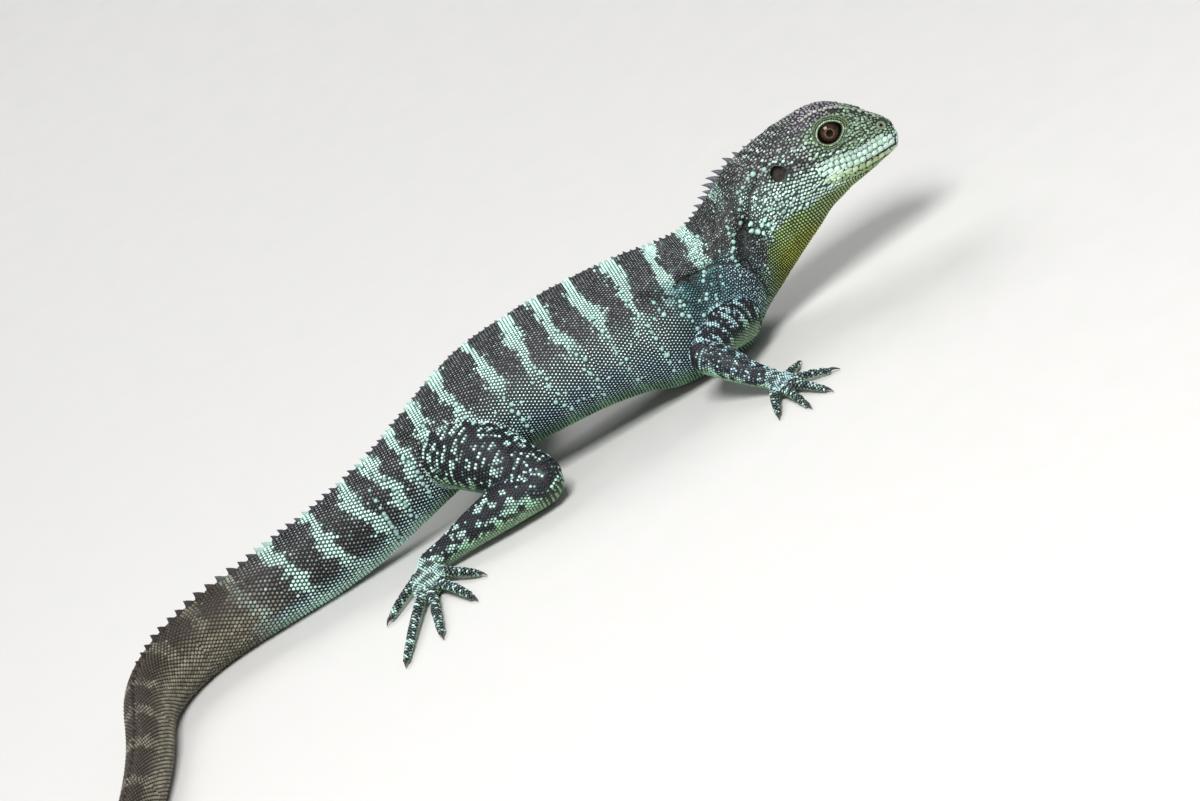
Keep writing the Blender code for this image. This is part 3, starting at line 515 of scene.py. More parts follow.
# Large single scales of the face and neck: upright x and z, length and width share.
FACE_SCALES = (
    (68.9, 56.5, 1.7, 0.6), (72.6, 56.6, 1.9, 0.55), (74.6, 55.9, 1.9, 0.55), (77.1, 54.8, 2.0, 0.55),
    (78.9, 52.9, 2.0, 0.55), (80.1, 50.6, 2.0, 0.55), (81.9, 48.9, 2.0, 0.55), (84.4, 47.8, 2.1, 0.55),
    (87.1, 47.0, 2.1, 0.55), (89.6, 46.4, 2.0, 0.55),
    (55.4, 47.5, 1.5, 0.8), (56.9, 45.7, 1.6, 0.8), (58.5, 44.1, 1.7, 0.8), (56.2, 43.4, 1.8, 0.8),
    (58.6, 42.0, 1.8, 0.75), (61.2, 41.3, 2.0, 0.75), (64.1, 41.0, 2.0, 0.7), (66.5, 39.5, 2.2, 0.7),
    (67.4, 36.6, 2.4, 0.7), (64.2, 36.6, 2.4, 0.7), (61.4, 37.2, 2.2, 0.75), (58.2, 38.8, 2.8, 0.7),
    (61.5, 39.3, 1.8, 0.7), (57.0, 41.0, 1.9, 0.8), (54.6, 41.9, 1.8, 0.8), (52.5, 43.0, 1.9, 0.8),
    (50.5, 46.2, 2.0, 0.9), (46.4, 50.0, 2.1, 0.9), (44.4, 48.2, 1.9, 0.9), (53.4, 45.3, 1.6, 0.8),
    (62.0, 43.2, 1.7, 0.7), (65.3, 43.1, 1.6, 0.7), (59.9, 45.5, 1.5, 0.8), (57.8, 47.7, 1.5, 0.8),
    (67.9, 55.1, 1.8, 0.8), (65.5, 56.3, 1.7, 0.8), (70.3, 53.0, 1.7, 0.7), (63.0, 56.6, 1.6, 0.8),
    (60.2, 55.8, 2.5, 0.9), (55.9, 56.3, 2.9, 0.9), (53.1, 55.9, 2.3, 0.9), (50.0, 54.1, 1.9, 0.9),
    (47.3, 53.6, 2.0, 0.9), (73.0, 41.4, 2.0, 0.42), (74.8, 40.6, 2.2, 0.4), (76.6, 39.9, 2.2, 0.4),
    (78.4, 39.0, 2.2, 0.4), (79.9, 37.7, 2.2, 0.4), (72.3, 39.9, 2.1, 0.42), (74.9, 38.6, 2.2, 0.4),
    (77.6, 37.6, 2.2, 0.4), (44.2, 45.2, 1.7, 0.9), (42.7, 43.1, 2.4, 0.9), (37.5, 41.7, 2.0, 0.8),
    (36.2, 39.2, 2.2, 0.8), (34.6, 37.2, 2.0, 0.8), (32.9, 34.7, 2.0, 0.8), (33.1, 31.7, 2.0, 0.8),
    (37.5, 44.5, 1.7, 0.8), (38.2, 47.2, 1.6, 0.8), (50.9, 36.2, 1.5, 0.9), (50.3, 34.6, 1.5, 0.9),
    (49.8, 33.0, 1.5, 0.9), (49.1, 31.4, 1.4, 0.9), (41.9, 25.4, 1.4, 0.9), (41.8, 23.8, 1.4, 0.9),
    (41.6, 22.2, 1.4, 0.9), (47.4, 33.8, 1.6, 0.9),
)
# A scale's rings from root to top: radius and height as shares, then its top's height and lean back.
KEELED = (((1.0, -0.5), (0.56, 0.8)), 1.0, 0.22)
BEAD = (((1.0, -0.4), (0.84, 0.45), (0.5, 0.88)), 1.0, 0.1)
CONE = (((1.0, -0.3, 0.0), (0.8, 0.25, 0.03), (0.45, 0.65, 0.12)), 1.0, 0.3)
# Cones at the angle of the jaw: upright x, z and height.
JAW_CONES = ((46.0, 37.6, 3.1), (44.3, 38.9, 2.0), (48.8, 38.9, 2.1), (50.8, 37.6, 1.8), (50.7, 39.9, 1.8),
             (51.2, 35.6, 1.6), (45.2, 41.6, 2.1), (47.6, 36.0, 1.7))
# Scale spacing along the body, by station.
SPACING = ((0, 1.05), (4, 1.25), (6.5, 1.4), (8, 1.5), (10, 1.5), (11.6, 1.12), (13, 1.12), (16, 1.3),
           (21, 1.4), (24, 1.48), (26, 1.6), (29, 1.75), (40, 1.65), (50, 1.2), (55, 0.8))
# Pale crossbands: place along the body, and how far each shifts forward from the back to the belly.
BANDS = ((40.0, -4.0), (23.5, -3.0), (7.8, 0.0), (-9.0, 2.0), (-24.3, 4.0), (-38.5, 5.0), (-53.3, 5.0),
         (-69.0, 4.0), (-85.0, 3.0), (-99.5, 3.0), (-112.0, 4.0), (-123.5, 6.0), (-137.0, 9.0),
         (-155.0, 9.0), (-173.0, 9.0), (-192.0, 6.0), (-212.0, 4.0), (-233.0, 4.0), (-255.0, 4.0),
         (-278.0, 4.0), (-302.0, 4.0), (-328.0, 4.0), (-356.0, 4.0), (-386.0, 4.0), (-418.0, 4.0),
         (-452.0, 4.0), (-488.0, 4.0))


MOUTH_X, MOUTH_Z = np.array(MOUTH_LINE)[::-1].T
# Where the green throat begins, as upright x and z.
THROAT_LINE = ((34, 17), (41, 24), (50, 34), (60, 36), (68, 35), (75, 36), (85, 35.5), (110, 34.5))


def tint(red, green, blue):
    """A display colour (0 to 255) as linear light."""
    shade = np.array([red, green, blue]) / 255.0
    return np.where(shade <= 0.04045, shade / 12.92, ((shade + 0.055) / 1.055) ** 2.4)


INK = tint(9, 11, 14)
DOT = tint(204, 228, 226)
SLATE = tint(124, 128, 128)
MINT = tint(196, 232, 220)
BLUE = tint(184, 222, 236)
TEAL = tint(84, 146, 152)
GREEN = tint(134, 176, 142)
OLIVE = tint(150, 178, 112)
YELLOW = tint(160, 168, 70)
TEMPLE = tint(178, 188, 182)
LORE = tint(150, 178, 150)
CROWN = tint(158, 152, 160)
CHEEK = tint(200, 230, 216)
BUFF = tint(122, 117, 102)
UMBER = tint(48, 42, 36)


def blend(low, high, share):
    """From one colour to another by a share from 0 to 1 for each point."""
    return low + (high - low) * np.clip(share, 0, 1)[:, None]


def band_share(x, height):
    """How much of a pale crossband is at each point: a bell across each band, slanting forward below,
    whose edges waver."""
    share = np.zeros_like(x)
    for number, (centre, shift) in enumerate(BANDS):
        breadth = np.interp(centre, [-500, -190, -100, 0, 45], [5.0, 3.4, 2.9, 3.0, 3.0])
        waver = 1.0 * np.sin(9 * height + 1.9 * number) + 0.6 * np.sin(26 * height + 3.1 * number)
        ragged = 0.3 * np.sin(14 * height + 2.3 * number) + 0.14 * np.sin(37 * height + number)
        off = (x - centre - shift * (1 - height) - waver) / (breadth * (0.95 + ragged))
        share = np.maximum(share, np.exp(-off**2))
    return share


def lay(marks, share, boss, boss_share, ground, ground_share, swell):
    """Lay a zone over the marks by each scale's share of it: the boss's and the ground's colours, each by
    its own part of that share, and the growth of the boss's radius."""
    return (blend(marks[0], boss, boss_share * share), blend(marks[1], ground, ground_share * share),
            marks[2] + swell * share)


def body_marks(x, z, height, luck):
    """The colour of a scale's boss and of the ground round it, and the boss's radius, from its place:
    bands over a black back, pale dots on black along the flank, green below, teal at the shoulder and
    brown along the tail."""
    band = band_share(x, height)
    patchy = 0.14 * np.sin(1.7 * x + 31 * height) + 0.12 * np.sin(2.6 * x - 47 * height + 1.3)
    pale = ramp(0.3, 0.6, band + patchy + 0.4 * (luck - 0.5))
    lowest = np.interp(x, [-128, -98], [0.16, 0.5])
    back = ramp(lowest, lowest + 0.24, height)
    dots = blend(BLUE, DOT, ramp(0.25, 0.5, height)) * (0.85 + 0.35 * luck)[:, None]
    slate = SLATE * (0.35 + luck - 0.25 * ramp(15, 30, x))[:, None]
    marks = blend(dots, slate, back), np.tile(INK, (len(x), 1)), 0.4 + 0.06 * back
    marks = lay(marks, pale * (0.3 + 0.7 * back), MINT, 1, tint(34, 60, 58), back, 0.22)
    marks = lay(marks, ramp(0.22, 0.1, height), GREEN, 1, tint(18, 40, 32), 1, 0.12)
    shoulder = ramp(-4, 12, x) * ramp(44, 38, x) * ramp(0.0, 0.15, height)
    shoulder *= ramp(40, 36, z - 0.5 * np.clip(12 - x, 0, 20))
    teal = blend(TEAL, BLUE, ramp(24, 34, x)) * (0.45 + 0.75 * luck)[:, None]
    marks = lay(marks, shoulder, teal, 0.85, tint(9, 24, 27), 1, 0.02)
    tail = ramp(-160, -196, x + 6 * luck)
    streak = 0.5 + 0.5 * np.sin(24 * height + 0.05 * x)
    brown = BUFF * (0.5 + 0.5 * luck + 0.3 * streak)[:, None]
    brown = blend(brown, UMBER * 1.8, ramp(0.5, 0.9, height) * (1 - 0.7 * pale))
    marks = lay(marks, tail, brown, 1, UMBER * 0.7, 1, 0.78 - marks[2])
    side = ramp(-100, -125, x) * (1 - tail) * ramp(0.34, 0.16, height)
    return lay(marks, side, MINT, 0.8, tint(30, 52, 48), 0.7, 0.14)


def head_marks(x, z, luck):
    """Head colours from a point of the upright face: pale grey bosses on black behind and above, green
    round the eye and snout, mint on the cheek, and an olive throat."""
    streak = ramp(0.1, 0.9, 0.5 + 0.5 * np.sin(1.9 * (z + 0.5 * x) + 1.2 * np.sin(0.4 * x - 0.3 * z)))
    rear = ramp(54, 46, x)
    temple = TEMPLE * (0.05 + 0.75 * luck**3 + 0.5 * streak * (1 - 0.75 * rear))[:, None]
    crown = ramp(58.5, 62.5, z) * ramp(72, 80, x)
    face = ramp(74, 82, x) * (1 - crown)
    cheek = ramp(54, 47, z + 0.25 * (x - 60)) * ramp(43, 50, x)
    lips = ramp(6.0, 3.0, z - np.interp(x, MOUTH_X, MOUTH_Z)) * ramp(70, 76, x)
    below = np.interp(x, *np.array(THROAT_LINE).T)
    olive = blend(OLIVE, YELLOW, ramp(below - 4, below - 11, z) * ramp(36, 44, x))
    marks = temple, np.tile(INK, (len(x), 1)), 0.6 - 0.13 * rear
    for share, boss, boss_share, ground, swell in (
            (crown, CROWN * (0.5 + 0.7 * luck)[:, None], 1, tint(28, 27, 32), 0),
            (face, LORE * (0.5 + 0.6 * luck)[:, None], 1, tint(24, 32, 22), 0.08),
            (cheek, CHEEK * (0.5 + 0.7 * luck)[:, None], 0.9 * (1 - 0.4 * face), tint(8, 38, 36), 0.02),
            (lips, CHEEK, 1, tint(26, 44, 36), 0),
            (ramp(below + 1.2, below - 1.5, z), olive, 1, tint(30, 42, 16), -0.06)):
        marks = lay(marks, share, boss, boss_share, ground, 1, swell)
    return marks


def row_lengths(points):
    """How far along a line of points each of them lies."""
    return np.concatenate([[0], np.cumsum(np.linalg.norm(np.diff(points, axis=0), axis=1))])


def lattice(surface, rows, spacing, finer_back=0.0):
    """Even rows of places on a surface: each row's length is stepped off in equal parts, counted in
    sixes so that rows stay in line, and every other row is shifted by half a part. The length counts
    for more on the back by finer_back, which sets its scales closer."""
    angles = np.linspace(0, 2 * np.pi, 181)
    steps = np.linalg.norm(np.diff(surface(rows, angles), axis=1), axis=2)
    steps *= 1 + finer_back * ramp(0.45, 0.9, np.cos(angles[1:]))
    lengths = np.concatenate([np.zeros((len(rows), 1)), np.cumsum(steps, axis=1)], axis=1)
    found = []
    for i, row in enumerate(rows):
        whole = lengths[i, -1]
        count = max(6, 6 * int(round(whole / spacing[i] / 6)))
        turns = np.interp((np.arange(count) + 0.5 * (i % 2)) / count * whole, lengths[i], angles)
        size = whole / count / (1 + finer_back * ramp(0.45, 0.9, np.cos(turns)))
        found.append((np.full(count, row), turns, size))
    return (np.concatenate(group) for group in zip(*found))


def row_numbers(surface, start, end, spacing_at):
    """Row numbers along a surface whose distance apart is a slanting lattice's share of the spacing."""
    fine = np.linspace(start, end, 1500)
    length = row_lengths(surface(fine, np.array([np.pi / 2, -np.pi / 2])).mean(axis=1))
    steps = np.diff(length) / (ROW_SHARE * spacing_at(0.5 * (fine[1:] + fine[:-1])))
    need = np.concatenate([[0], np.cumsum(steps)])
    rows = np.interp(np.arange(0.5, need[-1]), need, fine)
    return rows, spacing_at(rows)


def settle(points):
    """The nearest places on the skin, found for the whole array at once by a Shrinkwrap."""
    cloud = put_mesh("cloud", points, [])
    wrap = cloud.modifiers.new("wrap", "SHRINKWRAP")
    wrap.target = skin
    wrap.wrap_method = "NEAREST_SURFACEPOINT"
    apply_modifiers(cloud)
    found = points_of(cloud)
    bpy.data.objects.remove(cloud, do_unlink=True)
    return found


def unit(rows):
    """The rows scaled to length 1."""
    return rows / np.maximum(np.linalg.norm(rows, axis=1), 1e-9)[:, None]


def frames_on_skin(surface, rows, angles, reach=1.2):
    """Roots on the skin with directions backwards along the body, across it and out, and whether each
    root was close to the skin. The directions come from neighbours that are settled as well."""
    small = 1e-3
    here, further, beside = (surface(rows + more, angles[:, None] + turn)[:, 0]
                             for more, turn in ((0, 0), (small, 0), (0, small)))
    back, round_ = (0.5 * unit(place - here) for place in (further, beside))
    circle = np.linspace(0, 2 * np.pi, 12, endpoint=False)[None, :] * np.ones((len(rows), 1))
    outward = here - surface(rows, circle).mean(axis=1)
    round_ *= np.sign((np.cross(back, round_) * outward).sum(axis=1))[:, None]
    return settled_frames(here, back, round_, reach)


def settled_frames(here, back, round_, reach=3.0):
    """Frames on the skin from places near it and two short directions that give the outward side."""
    settled = settle(np.vstack([here, here + back, here - back, here + round_, here - round_]))
    root, ahead, behind, right, left = settled.reshape(5, -1, 3)
    back = unit(ahead - behind)
    out = np.cross(back, right - left)
    size = np.linalg.norm(out, axis=1)
    out = unit(out)
    good = (np.linalg.norm(root - here, axis=1) < reach) & (size > 0.3)
    return root, back, np.cross(out, back), out, good


class Coat:
    """Scales gathered for one piece: places, directions, sizes, colours and map places."""

    def __init__(self):
        self.groups = []

    def add(self, frames, half_long, half_wide, high, boss, ground, unwrap, form, sides=6, radius=0.75):
        """Add scales of one form. Sizes and colours are one for all or one for each."""
        good = np.broadcast_to(frames[4], len(frames[0]))
        rows = [np.broadcast_to(value, (len(good), 3))[good] for value in (*frames[:4], boss, ground)]
        sizes = [np.broadcast_to(value, len(good))[good] for value in (half_long, half_wide, high, radius)]
        self.groups.append((*rows, *sizes, unwrap[good], form, sides))

    def build(self, name, slot):
        """One mesh: each scale is its form's rings of corners round the root, closed by a flat underside
        and a fan to the top. Its points carry the boss's colour, the ground's colour and the lie: how far
        along and across the scale they are, as shares of its half sizes, and the boss's radius."""
        made, all_faces, start = [], [], 0
        for group in self.groups:
            (root, back, across, out, boss, ground,
             half_long, half_wide, high, dot, unwrap, form, sides) = group
            rings, top, lean, first_turn = (*form, 0.0)[:4]
            radius, rise, tips = np.array([(*ring, lean * max(ring[1], 0))[:3] for ring in rings]).T
            turn = (np.arange(sides) + first_turn) * 2 * np.pi / sides
            along = np.concatenate([(radius[:, None] * np.cos(turn)).ravel(), [0.0]])
            beside = np.concatenate([(radius[:, None] * np.sin(turn)).ravel(), [0.0]])
            height = np.concatenate([np.repeat(rise, sides), [top]])
            leaning = np.concatenate([np.repeat(tips, sides), [lean]])
            along_mm = along * half_long[:, None] + leaning * high[:, None]
            points = (root[:, None] + along_mm[..., None] * back[:, None]
                      + (beside * half_wide[:, None])[..., None] * across[:, None]
                      + (height * high[:, None])[..., None] * out[:, None])
            maps = unwrap[:, None] + np.stack([along, beside], axis=1)[None] * PATCH
            count, each = len(root), len(height)
            lie = np.stack([np.tile(along, count), np.tile(beside, count), np.repeat(dot, each)], axis=1)
            tones = (np.repeat(tone, each, axis=0) for tone in (boss, ground))
            made.append((points.reshape(-1, 3), *tones, lie, maps.reshape(-1, 2)))
            first = start + np.arange(count)[:, None, None] * each
            corner = np.arange(sides)
            quads = grid_faces(len(rings), sides)
            fan = np.stack([corner, (corner + 1) % sides, np.full(sides, sides)], axis=1) + each - 1 - sides
            for faces in (corner[None, ::-1], quads, fan):
                all_faces.append((first + faces).reshape(-1, faces.shape[1]))
            start += count * each
        points, boss, ground, lie, maps = (np.vstack(column) for column in zip(*made))
        points[:, 2] = np.maximum(points[:, 2], 0.0)
        piece = put_mesh(name, points, all_faces)
        paint(piece, boss)
        paint(piece, ground, "Ground")
        layer = piece.data.attributes.new("Lie", "FLOAT_VECTOR", "POINT")
        layer.data.foreach_set("vector", lie.astype(np.float32).ravel())
        corners = np.concatenate([group.ravel() for group in all_faces])
        layer = piece.data.uv_layers.new(name="OFBake")
        layer.data.foreach_set("uv", maps[corners].astype(np.float32).ravel())
        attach(piece, "root")
        return piece


def paint(piece, colours, name="Marking"):
    """Store a colour for each point as the attribute named."""
    layer = piece.data.color_attributes.new(name, "FLOAT_COLOR", "POINT")
    full = np.concatenate([np.clip(colours, 0, 1), np.ones((len(colours), 1))], axis=1)
    layer.data.foreach_set("color", full.astype(np.float32).ravel())


def scale_material(name, highlight_strength, gloss):
    """Hide scales: each boss's colour inside its radius and the ground's outside it, a painted highlight
    along the middle ridge of each keeled scale, fine growth lines across the bump, and bosses a little
    glossier than the ground."""
    material, wire, feed = new_material(name, Specular_IOR_Level=gloss)
    lie = wire.attribute("Lie", "Vector")
    along, beside, dot = (wire.node("ShaderNodeSeparateXYZ", {}, {0: lie}, part) for part in range(3))
    grain = wire.noise(2600.0, 3.0)
    off = (along * along + beside * beside) ** 0.5
    share = wire.math("MULTIPLY", (dot + 0.14 * grain - off), 5.5, clamp=True)
    # Painted highlight: the boss is made paler along a line down the middle of each keeled scale.
    keel_highlight = wire.math("MULTIPLY", 0.35 - wire.math("ABSOLUTE", beside, 0.0), 2.6, clamp=True)
    boss = wire.shade(wire.attribute("Marking", "Color"), 0.82 + 0.3 * grain + highlight_strength * keel_highlight)
    colour = wire.mix(share, wire.attribute("Ground", "Color"), boss)
    lines = wire.math("SINE", beside * 21.0, 0.0)
    feed(0.5 * grain + 0.35 * lines, 0.00005, 0.7,
         Base_Color=colour, Roughness=0.62 - 0.2 * share + 0.12 * grain)
    return material


def plain_x(rows, shape):
    """Distance along the body as if the tail were straight."""
    share = np.clip((rows - 29) / TAIL_STATIONS, 0, 1)
    whole = TAIL_BEND_RADIUS * TAIL_BEND + TAIL_REST_LENGTH
    return np.where(rows > 29, TAIL_START_X - share * whole, shape[:, 0])


def on_body(rows, angles):
    """Points of the skin from snout to tail, by station and angle."""
    return body_surface(rows, angles, -SCALE_DEPTH)[0]


def on_map(across, up):
    """Places on the OFBake map; either number may be one for all."""
    return np.stack(np.broadcast_arrays(across, up), axis=1)


side_rows = np.linspace(0.25, 25.5, 1100)
side_angles = np.linspace(0.02, np.pi - 0.02, 200)
side_flat = body_surface(side_rows, side_angles, -SCALE_DEPTH)[2][..., [0, 2]].reshape(-1, 2)


def frames_on_side(x, z, side):
    """Stations and frames of places on one side that have the upright x and z asked for: the nearest of
    a fine grid."""
    nearest = np.array([((side_flat - place) ** 2).sum(axis=1).argmin() for place in zip(x, z)])
    at, angles = side_rows[nearest // len(side_angles)], side_angles[nearest % len(side_angles)]
    return at, frames_on_skin(on_body, at, angles if side > 0 else 2 * np.pi - angles, 3.0)


def dots_on_flank(x, height, size):
    """Rows of upright x, z and size from x and the share of the body's height there."""
    top, low = (np.interp(x, STATIONS[::-1, i], STATIONS[::-1, i + 1]) for i in (0, 2))
    return np.stack([x, low + height * (top - low), size], axis=1)


# Large round tubercles: those of the shoulder and neck, and a row down each pale band on the flank.
TUBERCLES = (
    (22.1, 39.6, 2.2), (21.2, 37.6, 2.4), (20.3, 36.0, 2.0), (19.1, 34.4, 2.4), (17.5, 30.1, 2.4),
    (16.5, 28.5, 2.6), (19.8, 26.2, 2.2), (27.4, 35.2, 1.8), (12.5, 24.1, 2.6), (6.6, 31.9, 2.4),
    (5.8, 29.2, 3.0), (-1.0, 38.4, 2.4), (-0.2, 33.0, 3.0), (-0.8, 35.4, 2.2), (26.2, 47.6, 2.4),
    (20.9, 31.7, 1.8), (14.1, 29.8, 2.0), (20.2, 27.6, 2.0), (31.6, 28.0, 1.8), (25.4, 32.2, 1.8),
    (24.6, 29.5, 1.8), (37.3, 45.3, 1.8), (36.7, 42.7, 2.2), (36.2, 39.6, 2.2), (35.2, 37.6, 2.2),
    (33.9, 36.8, 2.0), (32.7, 35.2, 2.2), (33.1, 33.1, 1.9), (34.1, 31.6, 1.8), (30.0, 39.6, 1.7),
)
tubercles = [np.array(TUBERCLES) * (1, 1, 0.8)]
for centre, shift in BANDS[2:14]:
    height = np.arange(0.84, 0.2, -0.062) + chance.normal(0, 0.008, 11)
    x = centre + shift * (1 - height) + chance.normal(0.4, 0.7, len(height))
    wanted = chance.random(len(x)) < np.interp(height, [0.2, 0.4, 0.65, 0.85], [0.8, 0.97, 0.9, 0.5])
    tubercles.append(dots_on_flank(x, height, chance.uniform(1.6, 2.4, len(x)))[wanted])
x, height, size = (chance.uniform(low, high, 30) for low, high in ((-100, 8), (0.22, 0.62), (1.3, 1.9)))
tubercles = np.vstack([*tubercles, dots_on_flank(x, height, size)])
special = {}
tables = {"face": np.array(FACE_SCALES), "tubercle": tubercles, "cone": np.array(JAW_CONES)}
for side in (-1, 1):
    for kind, group in tables.items():
        special[kind, side] = *frames_on_side(group[:, 0], group[:, 1], side), group

rows, row_spacing = row_numbers(on_body, 0.35, TAIL_END - 0.1, lambda at: np.interp(at, *np.array(SPACING).T))
scale_rows, scale_angles, scale_size = lattice(on_body, rows, row_spacing, 0.35)
row_gap = np.interp(scale_rows, rows, row_spacing)
shapes = body_surface(scale_rows, scale_angles[:, None], -SCALE_DEPTH)[2][:, 0]
above_throat = shapes[:, 2] - np.interp(shapes[:, 0], *np.array(THROAT_LINE).T)
throat = ramp(1.0, -1.5, above_throat) * ramp(30, 38, shapes[:, 0])
# The head's and neck's scales are uneven in place and size, but the throat's stand in cross rows.
cheek = ramp(54, 47, shapes[:, 2] + 0.25 * (shapes[:, 0] - 60)) * ramp(10.8, 10.0, scale_rows)
uneven = ramp(14.5, 12.0, scale_rows) * (1 - throat) * (1 - 0.65 * cheek)
per_row = np.interp(scale_rows, rows[:-1], np.diff(rows))
scale_rows = np.clip(scale_rows + uneven * chance.normal(0, 0.15, len(scale_rows)) * per_row, 0.3, None)
scale_angles = scale_angles + uneven * chance.normal(0, 0.011, len(scale_rows))
_, heights, shapes = body_surface(scale_rows, scale_angles[:, None], -SCALE_DEPTH)
heights, shapes = heights[:, 0], shapes[:, 0]
creased = crease_depth(shapes[:, 0], shapes[:, 2])
creased *= ramp(4, 8, np.abs(shapes[:, 1])) * ramp(-130, -120, shapes[:, 0])
reach = np.where(scale_rows < 9.5, 3.6, 1.5) + 1.8 * np.clip(creased, 0, 3)
frames = frames_on_skin(on_body, scale_rows, scale_angles, reach)
luck = chance.random(len(scale_rows))
x = plain_x(scale_rows, shapes)
body = body_marks(x, shapes[:, 2], heights, luck)
head = head_marks(shapes[:, 0], shapes[:, 2], luck)
headness = ramp(13.2, 11.6, scale_rows + 0.8 * ramp(48, 58, shapes[:, 2]))
boss, ground = blend(body[0], head[0], headness), blend(body[1], head[1], headness)
dot = body[2] + (head[2] - body[2]) * headness
# Scales make room for the lips, lids, ears, nostrils, tubercles and large plates.
face_x, face_y, face_z = shapes.T
above_lips = face_z - np.interp(face_x, MOUTH_X, MOUTH_Z)
lip_top = np.interp(face_x, [76, 80, 103.5, 107, 110], [5.0, 6.1, 6.1, 4.6, 2.2])
lip_base = np.interp(face_x, [78, 82, 106, 110], [-3.5, -4.5, -4.5, -2.4])
kept = frames[4] & ~((face_x > 76) & (face_x < 110.6) & (above_lips < lip_top) & (above_lips > lip_base))
elsewhere = (scale_rows > 10) | (np.abs(face_y) < 2)
for centre, half_x, half_z in ((EYE_CENTRE, 6.1, 5.5), (EAR_CENTRE, 3.6, 4.0), (NOSTRIL_CENTRE, 2.3, 2.1)):
    kept &= (off_centre(face_x, face_z, centre, half_x, half_z) > 1) | elsewhere
for (kind, side), (at, plate_frames, group) in special.items():
    reach = 0.5 * group[:, 2] * (np.sqrt(group[:, 3]) if kind == "face" else 1.0)
    roots, plates = frames[0], plate_frames[0]
    gap = (roots**2).sum(axis=1)[:, None] + (plates**2).sum(axis=1) - 2 * roots @ plates.T
    kept &= (gap > reach**2).all(axis=1)
frames = frames[:4] + (kept,)
shadow = np.clip(1 - 0.42 * np.clip(creased, 0, 2.2), 0.2, 1)[:, None]
brightness = np.clip(chance.normal(1.0, 0.1 + 0.1 * uneven), 0.6, 1.35)[:, None]
boss, ground = boss * brightness * shadow, ground * shadow
unwrap = on_map(scale_rows / TAIL_END, scale_angles / (2 * np.pi))
swell = np.clip(chance.normal(1.0, 0.04 + 0.14 * uneven), 0.65, 1.4)
ribbed = throat * (scale_rows < 14)
half_long = 0.55 * row_gap * swell * (1 - 0.12 * ribbed)
half_wide = 0.53 * scale_size * swell * (1 + 0.35 * ribbed)
high = 0.32 * np.sqrt(row_gap * scale_size) * swell
# The face's scales are longer along the head.
drawn = ramp(11.5, 9.5, scale_rows) * (1 - throat) * ramp(62, 58, shapes[:, 2])
half_long, half_wide = half_long * (1 + 0.22 * drawn), half_wide * (1 - 0.06 * drawn)
# What later pieces need of each scale: root, boss, ground, boss radius and place on the map.
records = [(frames[0][kept], boss[kept], ground[kept], dot[kept], unwrap[kept] * (0.48, 1.0))]
hide_scales, face_hide = scale_material("scales", 0.35, 0.16), scale_material("face_scales", 0.0, 0.4)
PARTS = (("head_scales", "head_skin", 0, 10.0), ("neck_scales", "body_skin", 10.0, 14.2),
         ("trunk_scales_front", "body_skin", 14.2, 19.2), ("trunk_scales_rear", "body_skin", 19.2, 24.8),
         ("tail_scales_front", "tail_skin", 24.8, 31.0), ("tail_scales_rear", "tail_skin", 31.0, 60))
for name, slot, low, top in PARTS:
    inside = (scale_rows >= low) & (scale_rows < top)
    form, material = (BEAD, face_hide) if name == "head_scales" else (KEELED, hide_scales)
    coat = Coat()
    here = [group[inside] for group in (half_long, half_wide, high, boss, ground, unwrap)]
    coat.add([group[inside] for group in frames], *here, form, 6, dot[inside])
    coat.build(name, slot).data.materials.append(material)


# The coat of the legs, feet and hands. Their scales are keeled and small, and the digits carry a row
# of cross plates. The ground is charcoal, with mint spots in cross rows and green undersides.

ARM_SPACING, LEG_SPACING = (1.2, 1.0), (1.45, 1.2)  # at the shoulder or hip, and from the wrist or ankle on
SPOT_ROWS = 5.2  # distance between the rows of mint spots along a limb


def spots(along, beside, step, size):
    """Round spots on a jittered net of places: 1 in a spot's middle and 0 outside it. Each place's shift
    and size come from the fractions of a large sine of its number."""
    best = np.zeros_like(along)
    cell_along, cell_beside = np.floor(along / step), np.floor(beside / step)
    for i, j in np.ndindex(3, 3):
        a, b = cell_along + i - 1, cell_beside + j - 1
        seed = np.sin(a * 12.9898 + b * 78.233) * 43758.5453
        first, second, third = seed % 1, (seed * 7.31) % 1, (seed * 13.7) % 1
        off = np.hypot(along - (a + 0.2 + 0.6 * first) * step,
                       beside - (b + 0.5 * (a % 2) + 0.15 + 0.7 * second) * step)
        best = np.maximum(best, ramp(1.25, 0.75, off / (size * (0.55 + 0.75 * third))))
    return best


